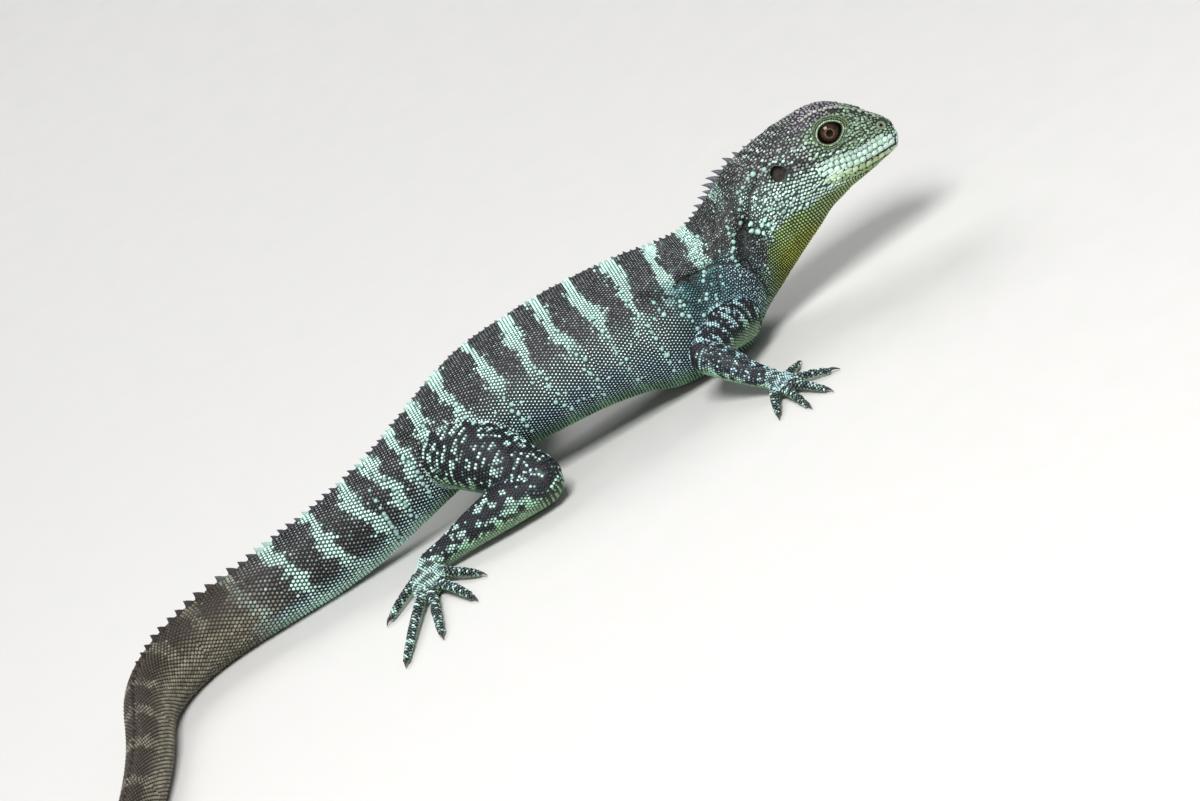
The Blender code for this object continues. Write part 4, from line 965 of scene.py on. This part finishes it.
def limb_marks(part, share, length, angles, girth, luck):
    """Black with round mint spots in cross rows on the thigh, blotches on the shin, pale bars on the
    upper arm, streaks on the forearm, a pale net on the hand and foot and specks on the digits; each is
    green below."""
    waves = 2 * np.pi * length / SPOT_ROWS + 0.9 * np.sin(2 * angles)
    row = 0.5 + 0.5 * np.cos(waves + 0.6 * np.sin(0.9 * length) * (part == "arm"))
    around, top = angles * girth, np.cos(angles)
    low_patch = spots(length + 4, around, 4.4, 1.8) * ramp(0.35, 0.0, top)
    if part == "leg":
        thigh = spots(length, around, 3.2, 1.1) * ramp(0.0, 0.25, row)
        shin = np.maximum(spots(length, around, 7.0, 1.6), 0.6 * spots(length + 9, around, 6.1, 0.6))
        spot = thigh + (np.maximum(shin, low_patch) - thigh) * ramp(0.45, 0.52, share)
    elif part == "arm":
        bars = ramp(0.6, 0.9, row + 0.9 * (luck - 0.5) + 0.35 * np.sin(3 * angles + 0.7 * length))
        bars = 0.85 * bars * spots(0.7 * length + 2, around, 3.1, 1.9)
        bars = np.maximum(bars, 0.4 * ramp(0.75, 1.0, luck))
        streaks = np.maximum(0.9 * spots(0.4 * length, around, 2.3, 0.5), low_patch)
        streaks = np.maximum(streaks, 0.3 * ramp(0.4, 1.0, luck))
        spot = bars + (streaks - bars) * ramp(0.45, 0.55, share)
    elif part == "digit":
        spot = 0.1 + 0.75 * ramp(0.6, 0.75, luck) * (0.4 + 0.6 * row)
    else:
        size = 1.1 if part == "hand" else 1.9
        spot = 0.8 * (1 - spots(length, around, 2.9 * size, size) * (0.95 - 0.4 * share))
    under = ramp(-0.1, -0.7, top)
    pale = blend(MINT, BLUE, luck * (part in ("arm", "hand")))
    pale = blend(tint(160, 208, 172), pale, ramp(-0.2, 0.3, top))
    boss = blend(blend(tint(56, 60, 70), pale, spot), tint(140, 172, 138), under)
    ground = blend(blend(INK, tint(36, 58, 52), 0.6 * spot), tint(40, 52, 34), under)
    return boss, ground, 0.5 + 0.3 * np.maximum(spot, under)


def limb_coat(coat, limb, tile):
    """Add a limb's scales, its palm's and its digits' plates to a coat; tile is its column on the map.
    Each is a shape, what it is, its first and last row, the spacings there, how much wider than long its
    scales are, their depth in the solids and how far they may move to reach the skin."""
    wide, narrow = LEG_SPACING if "leg" in limb else ARM_SPACING
    names = ("leg", "foot") if "leg" in limb else ("arm", "hand")
    pieces = [(LIMBS[limb], names[0], 0.0, len(LIMBS[limb]) - 1, wide, narrow, 1.0, SCALE_DEPTH, 1.9),
              (palm_joints(limb), names[1], -0.3, 3.3, narrow, narrow, 1.0, SCALE_DEPTH, 1.1)]
    for digit in range(5):
        pieces.append((digit_joints(limb, digit), "digit", 0.25, 4.85, 1.25, 1.0, 1.9, DIGIT_DEPTH, 1.1))
    for number, (shape, part, start, end, first, final, broad, depth, reach) in enumerate(pieces):

        def surface(rows, angles):
            return tube_surface(shape, rows, angles, -depth)

        rows, spacing = row_numbers(surface, start, end,
                                    lambda at: np.interp(at, [start, end], [first, final]))
        at, angles, size = lattice(surface, rows, spacing * broad)
        gap, share = np.interp(at, rows, spacing), (at - start) / (end - start)
        frames = frames_on_skin(surface, at, angles, reach)
        luck = chance.random(len(at))
        fine = np.linspace(start, end, 200)
        middle = surface(fine, np.array([np.pi / 2, -np.pi / 2])).mean(axis=1)
        girth = np.median(size) * len(at) / len(rows) / (2 * np.pi)
        length = np.interp(at, fine, row_lengths(middle))
        boss, ground, dot = limb_marks(part, share, length, angles, girth, luck)
        boss = boss * np.clip(chance.normal(1.0, 0.1, len(at)), 0.7, 1.35)[:, None]
        unwrap = on_map(tile + 0.24 * share, (number + angles / (2 * np.pi)) / 7.2)
        coat.add(frames, 0.55 * gap, 0.52 * size, 0.3 * np.sqrt(gap * size / broad), boss, ground, unwrap,
                 KEELED, 6, dot)
        good = frames[4]
        records.append((frames[0][good], boss[good], ground[good], dot[good],
                        unwrap[good] * (0.48, 1.0) + (0.5, 0.0)))


for name, limbs in (("arm_scales", ("right_arm", "left_arm")), ("leg_scales_right", ("right_leg",)),
                    ("leg_scales_left", ("left_leg",))):
    coat = Coat()
    for column, limb in enumerate(limbs):
        limb_coat(coat, limb, 0.02 + 0.5 * column)
    coat.build(name, "leg_skin").data.materials.append(hide_scales)

NUMBERS = 2**20  # a root's number is carried as its share of this


def nearest_roots(places, roots):
    """The number of the root nearest to each place, for whole arrays at once: a Data Transfer carries the
    roots' numbers to the places."""
    source, target = put_mesh("roots", roots, []), put_mesh("places", places, [])
    paint(source, np.repeat(np.arange(len(roots))[:, None] / NUMBERS, 3, axis=1))
    paint(target, np.zeros((len(places), 3)))
    carry = target.modifiers.new("carry", "DATA_TRANSFER")
    carry.object = source
    carry.use_vert_data = True
    carry.data_types_verts = {"COLOR_VERTEX"}
    carry.vert_mapping = "NEAREST"
    carry.layers_vcol_vert_select_src = "ALL"
    carry.layers_vcol_vert_select_dst = "NAME"
    apply_modifiers(target)
    shares = np.empty(len(places) * 4, np.float32)
    target.data.color_attributes["Marking"].data.foreach_get("color", shares)
    bpy.data.objects.remove(source, do_unlink=True)
    bpy.data.objects.remove(target, do_unlink=True)
    return np.round(shares[::4].astype(float) * NUMBERS).astype(int)


# The hide takes the coat's markings: each of its points gets the colour of the nearest scale's root.
roots, root_boss, root_ground, root_dot, root_map = (np.concatenate(group) for group in zip(*records))
paint(skin, (0.35 * root_ground + 0.06 * root_boss)[nearest_roots(points_of(skin), roots)])


# The crest. A row of horny teeth stands along the middle of the back, tall on the nape, low over the
# trunk and taller again on the tail. Each is cast with the hide and leans back.

TOOTH = (((1.0, -0.25, 0.0), (0.86, 0.12, 0.02), (0.58, 0.42, 0.1), (0.3, 0.74, 0.26)), 1.0, 0.45)
# By station: the teeth's height, and the distance between them.
CREST_HEIGHTS = np.array(((13.0, 1.7), (14.5, 1.5), (19.0, 1.3), (23.5, 1.6), (25.5, 2.2), (28.0, 2.6),
                          (30.0, 3.0), (36.0, 2.5), (42.0, 1.7), (50.0, 1.0), (55.0, 0.5)))
CREST_SPACING = np.array(((13.0, 2.4), (24.0, 2.6), (27.0, 3.6), (30.0, 5.0), (40.0, 4.6), (51.0, 3.0)))
# The nape's teeth: place along the upright animal and height, front to back.
NAPE_TEETH = np.array(((62.6, 1.1), (58.9, 1.3), (54.9, 2.2), (51.4, 3.3), (48.6, 1.5), (46.1, 3.6),
                       (43.4, 4.0), (40.9, 4.0), (38.6, 2.5), (36.2, 3.0), (33.0, 2.6)))
CREST_START, CREST_END = 30.4, 54.2  # upright x behind the nape's teeth, and the last station
fine = np.linspace(8.0, 15.0, 300)
top = roll_body(on_body(fine, np.array([0.0]))[:, 0], -1)[:, 0]
nape_stations = np.interp(NAPE_TEETH[:, 0], top[::-1], fine[::-1])
stations, station = [], np.interp(CREST_START, top[::-1], fine[::-1])
while station < CREST_END:
    pair = on_body([station, station + 0.02], np.array([0.0]))[:, 0]
    stations.append(station)
    step = 0.02 / np.linalg.norm(pair[1] - pair[0])
    station += np.interp(station, *CREST_SPACING.T) * chance.uniform(0.88, 1.12) * step
heights = np.interp(stations, *CREST_HEIGHTS.T) * chance.uniform(0.85, 1.12, len(stations))
nape = np.arange(len(NAPE_TEETH) + len(stations)) < len(NAPE_TEETH)
stations = np.concatenate([nape_stations, stations])
heights = np.concatenate([NAPE_TEETH[:, 1], heights])
shapes = body_surface(stations, np.zeros((len(stations), 1)), -SCALE_DEPTH)[2]
light = ramp(0.35, 0.7, band_share(plain_x(stations, shapes[:, 0]), np.ones(len(stations))))
boss = blend(tint(46, 46, 54), MINT, 0.55 * light * ~nape)
boss = blend(boss, tint(78, 80, 88), 1.0 * nape)
boss = blend(boss, UMBER, ramp(28.6, 30.0, stations))
crest = Coat()
half_long = np.where(nape, 0.5 + 0.29 * heights, 0.6 + (0.36 + 0.25 * ramp(26, 30, stations)) * heights)
half_wide = np.where(nape, 0.35 + 0.17 * heights, 0.3 + 0.13 * heights)
crest.add(frames_on_skin(on_body, stations, np.zeros(len(stations)), 2.0), half_long, half_wide,
          heights + 0.3, boss, boss * 0.4, on_map(stations / TAIL_END, 0.5), TOOTH, 8, 0.6)
horn, wire, feed = new_material("horn", Specular_IOR_Level=0.5)
grain = wire.noise(1500.0, 3.0)
feed(wire.noise(3800.0), 0.00008, 0.8,
     Base_Color=wire.shade(wire.attribute("Marking", "Color"), 0.6 + 0.8 * grain),
     Roughness=0.3 + 0.3 * grain)
crest.build("crest", "body_skin").data.materials.append(horn)


# The face's own plates: lip plates along the mouth, brow plates, cones at the jaw's angle, and single
# pale scales under the eye, round the ear, on the cheek and along the folds of the neck, with the
# tubercles of the flank. They are cast with the hide like the rest of the coat, but thicker.

PLATE = (((1.38, -0.6), (1.28, 0.4), (0.98, 0.85)), 1.0, 0.0, 0.5)
# Lip rows: height over the mouth line, first place, spacing, half height, thickness and colour.
LOWER_LIP = tint(184, 206, 164)
LIP_ROWS = ((1.3, 109.2, 2.55, 1.2, 0.55, CHEEK), (3.55, 107.2, 2.25, 1.08, 0.5, CHEEK * 0.9),
            (5.45, 104.6, 1.9, 0.86, 0.4, CHEEK * 0.7), (-1.35, 109.2, 2.8, 1.2, 0.55, LOWER_LIP),
            (-3.55, 107.2, 2.5, 1.0, 0.45, tint(150, 174, 124)))
PALE_SCALE, BLUISH_SCALE = tint(182, 222, 210), tint(150, 190, 182)
face, beads = Coat(), Coat()
for side in (-1, 1):
    for rise, first, step, half_tall, thick, tone in LIP_ROWS:
        lip_x = np.arange(first, 76.5 if rise > 0 else 78.0, -step)
        at, frames = frames_on_side(lip_x, np.interp(lip_x, MOUTH_X, MOUTH_Z) + rise, side)
        shrink = np.interp(lip_x, [76, 84, 104, 110], [0.6, 1.0, 1.0, 0.8])
        tones = np.clip(chance.normal(1.0, 0.08, len(at)), 0.8, 1.2)[:, None] * tone
        face.add(frames, 0.52 * step, half_tall * shrink, thick, tones, tones * 0.16,
                 on_map(0.1 + (110 - lip_x) / 60, 0.3 + 0.2 * side + 0.02 * rise), PLATE, 4, 1.06)
    line = np.array(BROW_LINE) * (1, side, 1, 1)
    along = np.linspace(1.0, len(line) - 1, 14)
    brow = spline(line, along)
    ahead = spline(line, along - 0.1)[:, :3] - brow[:, :3]
    here = roll_body(brow[:, :3] + brow[:, 3:] * np.array([0, 0.45 * side, 0.85]))
    frames = settled_frames(here, 0.5 * unit(ahead), np.array([0.0, -0.45, 0.25 * side]), 2.5)
    tones = tint(160, 164, 156) * chance.uniform(0.75, 1.15, (len(brow), 1))
    face.add(frames, 1.15, 0.85, 0.55, tones, tones * 0.12,
             on_map(0.2 + along / 20, 0.9 + 0.05 * side), BEAD, 6, 0.8)
    for kind, coat, form, tone in (("face", face, BEAD, PALE_SCALE), ("tubercle", beads, BEAD, BLUISH_SCALE),
                                   ("cone", face, CONE, PALE_SCALE)):
        at, frames, group = special[kind, side]
        half, narrow, tall = 0.5 * group[:, 2], 1.0, 0.4 * group[:, 2]
        tones = tone * np.clip(chance.normal(1.0, 0.1, (len(group), 1)), 0.75, 1.25)
        if kind == "face":
            narrow, tall = group[:, 3], 0.34 * group[:, 2] * np.sqrt(group[:, 3])
            tones *= 0.62 + 0.38 * ramp(60, 66, group[:, :1])
        if kind == "cone":
            half, narrow, tall = 0.7 + 0.28 * group[:, 2], 0.85, 1.15 * group[:, 2] + 0.3
        coat.add(frames, half, half * narrow, tall, tones, tint(16, 26, 26),
                 on_map(0.05 + at / 28, 0.6 + 0.3 * side), form, 8, 0.82)
# The snout's front carries a pale plate and its neighbours over the mouth and three below it.
y = np.array([-3.0, 0.0, 3.0])
for rise, tone in ((1.3, CHEEK), (-1.35, LOWER_LIP)):
    here = roll_body(np.stack([0 * y + 114.0, y, 0 * y + np.interp(112, MOUTH_X, MOUTH_Z) + rise], axis=1))
    frames = settled_frames(here, np.array([0.0, 0.5, 0.0]), np.array([0.0, 0.0, 0.5]), 12.0)
    face.add(frames, 1.45, 1.15, 0.55, tone * 0.9, tone * 0.15,
             on_map(0.02, 0.5 + 0.02 * (y + rise)), PLATE, 4, 1.06)
face.build("face_plates", "head_skin").data.materials.append(face_hide)
beads.build("tubercles", "body_skin").data.materials.append(face_hide)


# The eyes. Each is a cast glass ball: a round black pupil with a gold ring, a red-brown iris and a
# dark rim, under a clear glossy front. It is set into the socket behind the lids.

PUPIL_RADIUS = 1.5
PUPIL_BLACK = np.full(3, 0.002)
glass, wire, feed = new_material("eye_glass", Coat_Weight=0.4, Coat_Roughness=0.03, Specular_IOR_Level=0.0)
grain = wire.noise(2400.0, 4.0)
feed(grain, 0.00001, 0.2, Base_Color=wire.shade(wire.attribute("Marking", "Color"), 0.7 + 0.6 * grain),
     Roughness=0.2 + 0.15 * grain)
polar = np.linspace(0, np.pi, 40)[1:-1, None]
for side, name in ((-1, "right"), (1, "left")):
    turn = np.linspace(0, 2 * np.pi, 64, endpoint=False)[None, :] * side
    ball = (np.array(EYE_CENTRE) + EYE_RADIUS * ball_shape(polar, turn)) * (1, side, 1)
    eye = put_mesh("eye_ball_" + name, *capped_tube(roll_body(ball)))
    # Distance from the pupil's middle, which the streaks of the iris make waver; the back is out of it.
    off = EYE_RADIUS * np.sin(polar) + 10 * (polar > np.pi / 2)
    off = off + 0.06 * np.sin(7 * turn) + 0.04 * np.sin(13 * turn + 1)
    rays = 0.5 + 0.5 * np.sin(31 * turn + 2 * np.sin(9 * turn))
    off, rays = (values.ravel() for values in np.broadcast_arrays(off, rays))
    colour = tint(54, 38, 27) * (0.5 + 0.8 * rays)[:, None]
    colour = blend(colour, tint(112, 86, 54), np.exp(-((off - PUPIL_RADIUS - 0.24) / 0.15) ** 2))
    colour = blend(colour, tint(24, 17, 14), ramp(2.7, 3.7, off))
    colour = blend(colour, PUPIL_BLACK, ramp(PUPIL_RADIUS + 0.12, PUPIL_RADIUS - 0.12, off))
    paint(eye, np.vstack([colour, PUPIL_BLACK, np.full(3, 0.01)]))
    eye.data.materials.append(glass)
    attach(eye, "root")
    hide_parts("eye_" + name)


# The lids, ears and nostrils. Soft skin stands round each opening in creased rings: a beaded edge
# over the eye's ball, a raised rim round the sunken ear drum, and a swollen plate round the nostril.
# Each is cast as a ring whose outer edge is sunk in the hide.

# Rings from the outer edge inwards: half length, half height, lift over the hide, and colour. The
# dark colours are painted shade: in the folds between the raised rings, where the lid meets the ball,
# inside the ear and in the nostril's hole.
LID_FOLD_SHADE, LID_MID, LID_PALE = tint(34, 38, 30), tint(104, 124, 92), tint(158, 180, 152)
LID_RINGS = ((7.2, 6.5, -0.5, LID_MID), (6.8, 6.1, 0.15, LID_MID), (6.5, 5.8, 0.1, LID_FOLD_SHADE),
             (6.2, 5.5, 0.4, LID_MID), (5.9, 5.2, 0.3, LID_FOLD_SHADE), (5.6, 4.85, 0.15, tint(20, 22, 18)),
             (5.35, 4.6, 0.5, LID_MID), (5.0, 4.3, 0.75, LID_PALE), (4.75, 4.05, 0.7, LID_MID),
             (4.55, 3.85, 0.4, LID_FOLD_SHADE), (4.25, 3.6, -0.1, tint(12, 10, 9)))
# The ear drum's own olive-brown, painted darker with the shade of the sunken ear.
EAR_DRUM_AND_SHADE = tint(38, 32, 26)
# Rows of granules on the lids: half length, half height, granule size and colour.
LID_ROWS = ((5.05, 4.35, 0.5, LID_PALE), (5.95, 5.2, 0.5, LID_MID), (6.75, 6.0, 0.55, LID_MID))
# Painted shade: the black rings lie in the folds round the rim, and the drum is half as bright under it.
EAR_RINGS = ((4.1, 4.5, -0.4, INK), (3.8, 4.2, 0.2, tint(70, 84, 76)), (3.55, 3.9, 0.3, tint(56, 64, 58)),
             (3.35, 3.7, -0.1, INK), (3.2, 3.5, -0.9, tint(26, 22, 18)), (2.7, 3.0, -1.5, EAR_DRUM_AND_SHADE * 0.5),
             (1.6, 1.8, -1.6, EAR_DRUM_AND_SHADE), (0.9, 1.0, -1.6, EAR_DRUM_AND_SHADE), (0.3, 0.3, -1.6, EAR_DRUM_AND_SHADE))
# Painted shade: dark rings in the groove round the swollen plate and at its inner edge, and a black middle
# for the nostril's hole.
NOSTRIL_RINGS = ((2.5, 2.2, -0.35, LID_FOLD_SHADE), (2.3, 2.0, 0.1, LID_FOLD_SHADE), (2.1, 1.85, 0.4, LID_MID),
                 (1.7, 1.5, 0.6, tint(126, 138, 116)), (1.3, 1.15, 0.45, LID_MID),
                 (1.0, 0.85, 0.5, tint(122, 118, 108)), (0.7, 0.6, 0.2, LID_FOLD_SHADE),
                 (0.55, 0.5, -0.4, tint(18, 15, 13)), (0.25, 0.25, -0.9, tint(8, 7, 6)))


def ring_rows(rings, rows=44, columns=96):
    """A smooth set of rings from a table of them: half sizes and lift by row, the turns round a ring and
    the colours."""
    values = spline([(*sizes, *tone) for *sizes, tone in rings], np.linspace(0, len(rings) - 1, rows))
    colours = np.broadcast_to(np.clip(values[:, None, 3:], 0.001, 1), (rows, columns, 3))
    return values[:, :3], np.linspace(0, 2 * np.pi, columns, endpoint=False), colours


def eye_rings(centre, rings, side):
    """Rings round the eye. The outer ring is settled on the hide; inside it the height over the hide is
    the outer ring's, shrunk towards its mean, plus each ring's lift, and no ring comes closer to the
    ball than a hair. The front corner is drawn out."""
    values, turn, colours = ring_rows(rings)
    x = centre[0] + values[:, :1] * (np.cos(turn) + 0.16 * np.clip(np.cos(turn), 0, 1) ** 5)
    z = centre[2] + values[:, 1:2] * np.sin(turn)
    outer = roll_body(np.stack([x[0], side * (centre[1] + 4.5) + 0 * turn, z[0]], axis=1))
    outer_y = np.abs(roll_body(settle(outer), -1)[:, 1])
    share = values[:, :1] / values[0, 0]
    y = share * outer_y + (1 - share) * outer_y.mean() + values[:, 2:]
    away = np.hypot(x - centre[0], z - centre[2])
    ball = centre[1] + np.sqrt(np.maximum((EYE_RADIUS + 0.12) ** 2 - away**2, 0.0))
    y = np.maximum(y, ball)
    y[-1] = ball[-1]
    return roll_body(np.stack([x, side * y, z], axis=-1)), colours


def hole_rings(centre, rings, side):
    """Rings round a hole of the face, laid in the hide's own tangent plane there: the outer ring is
    settled on the hide, and inside it the shift that settled it shrinks towards its mean, plus each
    ring's lift along the plane's outward direction."""
    values, turn, colours = ring_rows(rings)
    place = np.array([[centre[0], side * (centre[1] + 1.5), centre[2]]])
    here = roll_body(place)
    ahead, above = (roll_body(place + 1.1 * np.array(way)) - here
                    for way in ((rings[0][0], 0, 0), (0, 0, rings[0][1])))
    _, ahead, across, out, _ = settled_frames(here, ahead, -side * above, 9.0)
    flat = (here + values[:, :1, None] * np.cos(turn)[:, None] * ahead
            - side * values[:, 1:2, None] * np.sin(turn)[:, None] * across)
    shift = settle(flat[0]) - flat[0]
    share = values[:, :1, None] / values[0, 0]
    return flat + share * shift + (1 - share) * shift.mean(axis=0) + values[:, 2:, None] * out, colours


soft, wire, feed = new_material("lid_skin", Specular_IOR_Level=0.2)
grain = wire.noise(2200.0, 4.0)
feed(wire.noise(4200.0) + grain, 0.00008, 0.8,
     Base_Color=wire.shade(wire.attribute("Marking", "Color"), 0.55 + 0.9 * grain),
     Roughness=0.4 + 0.25 * grain)
granules = Coat()
for side, name in ((-1, "right"), (1, "left")):
    for kind, centre, rings in (("lid", EYE_CENTRE, LID_RINGS), ("ear", EAR_CENTRE, EAR_RINGS),
                                ("nostril", NOSTRIL_CENTRE, NOSTRIL_RINGS)):
        points, colours = (eye_rings if kind == "lid" else hole_rings)(centre, rings, side)
        rows, columns = points.shape[:2]
        faces = [grid_faces(rows, columns)[:, ::-side]]
        flat, tones = points.reshape(-1, 3), colours.reshape(-1, 3)
        if kind != "lid":
            flat = np.vstack([flat, points[-1].mean(axis=0)])
            tones = np.vstack([tones, colours[-1, :1]])
            last = (rows - 1) * columns + np.arange(columns)
            fan = np.stack([last, np.roll(last, -1), np.full(columns, rows * columns)], axis=1)
            faces.append(fan[:, ::side])
        piece = put_mesh(kind + "_" + name, flat, faces)
        paint(piece, tones)
        piece.data.materials.append(soft)
        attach(piece, "root")
        for half_x, half_z, size, tone in LID_ROWS if kind == "lid" else ():
            length = np.array([ring[0] for ring in rings])
            row = np.interp(-half_x, -length, np.arange(len(length))) / (len(length) - 1)
            row = int(round((rows - 1) * row))
            count = int(2 * np.pi * half_x / (1.7 * size))
            picked = np.round(np.linspace(0, columns, count, endpoint=False)).astype(int)
            root = points[row, picked]
            tangent = unit(points[row, (picked + 1) % columns] - points[row, picked - 1])
            inward = points[min(row + 2, rows - 1), picked] - points[row - 2, picked]
            out = unit(np.cross(tangent, inward) * -side)
            tones = tone * chance.uniform(0.7, 1.3, (count, 1))
            frames = root, tangent, np.cross(out, tangent), out, True
            granules.add(frames, size, 0.9 * size, 0.6 * size, tones, tones * 0.15,
                         on_map(0.1 + picked / 120, 0.5 + 0.2 * side + 0.02 * half_x), BEAD)
granules.build("lid_granules", "head_skin").data.materials.append(face_hide)


# The claws. Each digit ends in a dark horn claw, curved down to the floor, cast apart and set into the
# tip of the digit.

CLAW = (((1.0, -0.3, 0.0), (0.94, 0.12, -0.03), (0.76, 0.38, -0.03), (0.54, 0.64, 0.05), (0.3, 0.86, 0.18)),
        1.0, 0.3)
CLAW_LENGTH = 4.4
claws = Coat()
for limb in LIMBS:
    for digit in range(5):
        joints = digit_joints(limb, digit)
        along = (joints[-1:, :3] - joints[-2:-1, :3]) * (1, 1, 0)
        along /= np.linalg.norm(along)
        down = np.array([[0.0, 0.0, -1.0]])
        size = joints[-1, 3]
        frames = joints[-1:, :3] - 0.25 * down, down, np.cross(along, down), along, True
        claws.add(frames, 0.52 * size, 0.42 * size, CLAW_LENGTH, tint(42, 34, 30), tint(86, 78, 70),
                  np.array([[0.1 + 0.15 * digit, 0.5]]), CLAW, 10)
claws.build("claws", "claw").data.materials.append(horn)


# The filling scales. Where the rows end or stretch apart, at the snout's tip, the shoulders and the
# outsides of the elbows and knees, small plain scales close the hide. They are cast with it.

FILL_SPACING = 1.15
FACE_GAP, BODY_GAP = 1.1, 1.5  # a place further than this from every scale's root is bare
taken = np.vstack([roots] + [group[0] for group in face.groups + beads.groups + granules.groups])
places = points_of(skin)
away = np.linalg.norm(places - taken[nearest_roots(places, taken)], axis=1)
x, y, z = roll_body(places, -1).T
bare = (away > np.where((x > 35) & (np.abs(y) < 20), FACE_GAP, BODY_GAP)) & (places[:, 2] > 0.4)
for centre, size in ((EYE_CENTRE, 7.2), (EAR_CENTRE, 4.3), (NOSTRIL_CENTRE, 2.6)):
    bare &= (off_centre(x, z, centre, size, size) > 1) | (x < 50) | (np.abs(y) < 2)
bare &= (x < 100) | (np.abs(y) > 12) | (np.abs(z - np.interp(x, MOUTH_X, MOUTH_Z)) > 0.55)
# One bare place is taken in each small cube, and goes again where an earlier one is too near.
bare = chance.permutation(np.flatnonzero(bare))
_, first = np.unique(np.floor(places[bare] / (0.9 * FILL_SPACING)), axis=0, return_index=True)
picked = bare[np.sort(first)]
apart = np.linalg.norm(places[picked][:, None] - places[picked], axis=2)
picked = picked[~np.tril(apart < 0.8 * FILL_SPACING, -1).any(axis=1)]
out = vertex_rows(skin, "normal")[picked]
lie = np.array((-1.0, 0.0, 0.6))
back = unit(lie - (out @ lie)[:, None] * out)
near = nearest_roots(places[picked], roots)
size = 0.66 * FILL_SPACING * chance.uniform(0.9, 1.2, len(picked))
filling = Coat()
filling.add((places[picked], back, np.cross(out, back), out, True), 1.1 * size, size, 0.6 * size,
            root_boss[near], root_ground[near], root_map[near] + 0.0008, BEAD, 6, root_dot[near])
filling.build("filling_scales", "body_skin").data.materials.append(face_hide)


# The floor, lights and camera. The floor is a pale, smooth board. Three soft square lights stand over it,
# and the camera has the photo's height over the animal and the photo's lean.

FLOOR_HALF = 9000.0
corners = FLOOR_HALF * np.array([(-1, -1, 0), (1, -1, 0), (1, 1, 0), (-1, 1, 0)])
floor = put_mesh("floor", corners, [np.array([[0, 1, 2, 3]])], smooth=False)
paper, wire, feed = new_material("floor_board", Roughness=0.7)
grain = wire.noise(60.0, 3.0)
feed(wire.noise(400.0, 2.0), 0.0001, 0.3,
     Base_Color=wire.mix(grain, (0.50, 0.495, 0.48, 1), (0.54, 0.53, 0.515, 1)), Roughness=0.6 + 0.2 * grain)
floor.data.materials.append(paper)
VIEW_CENTRE = np.array((-0.03719, 0.00346, 0.00951))
VIEW_FROM = np.array((-0.03719, -2.8156, 1.0356))
VIEW_HEIGHT, VIEW_LEAN = math.radians(20), math.radians(31.5)
back_axis = (VIEW_FROM - VIEW_CENTRE) / np.linalg.norm(VIEW_FROM - VIEW_CENTRE)
level, lift = np.array((1.0, 0, 0)), np.array((0.0, math.sin(VIEW_HEIGHT), math.cos(VIEW_HEIGHT)))
right = math.cos(VIEW_LEAN) * level - math.sin(VIEW_LEAN) * lift
upward = math.sin(VIEW_LEAN) * level + math.cos(VIEW_LEAN) * lift
lens = bpy.data.cameras.new("camera")
lens.lens = 238.7
lens.sensor_width = 36.0
camera = bpy.data.objects.new("camera", lens)
bpy.context.scene.collection.objects.link(camera)
axes = np.column_stack([right, upward, back_axis, VIEW_FROM])
camera.matrix_world = Matrix([*axes.tolist(), (0, 0, 0, 1)])
bpy.context.scene.camera = camera


def soft_light(name, place, size, power, shine=1.0):
    """A square soft light at a place in metres that faces the animal; shine scales its reflections."""
    data = bpy.data.lights.new(name, "AREA")
    data.size = size
    data.energy = power
    data.specular_factor = shine
    light = bpy.data.objects.new(name, data)
    bpy.context.scene.collection.objects.link(light)
    facing = (-Vector(place)).to_track_quat("-Z", "Y").to_matrix().to_4x4()
    light.matrix_world = Matrix.Translation(place) @ facing


soft_light("key", (-0.05, -0.8, 1.3), 0.6, 30)
soft_light("fill", (-1.0, -1.4, 0.5), 1.2, 4, 0.0)
soft_light("rim", (-0.3, 1.1, 1.1), 0.8, 12)
world = bpy.data.worlds.new("studio")
world.use_nodes = True
world.node_tree.nodes["Background"].inputs["Color"].default_value = (0.85, 0.87, 0.9, 1)
world.node_tree.nodes["Background"].inputs["Strength"].default_value = 0.4
bpy.context.scene.world = world
bpy.context.scene.view_settings.view_transform = "Standard"
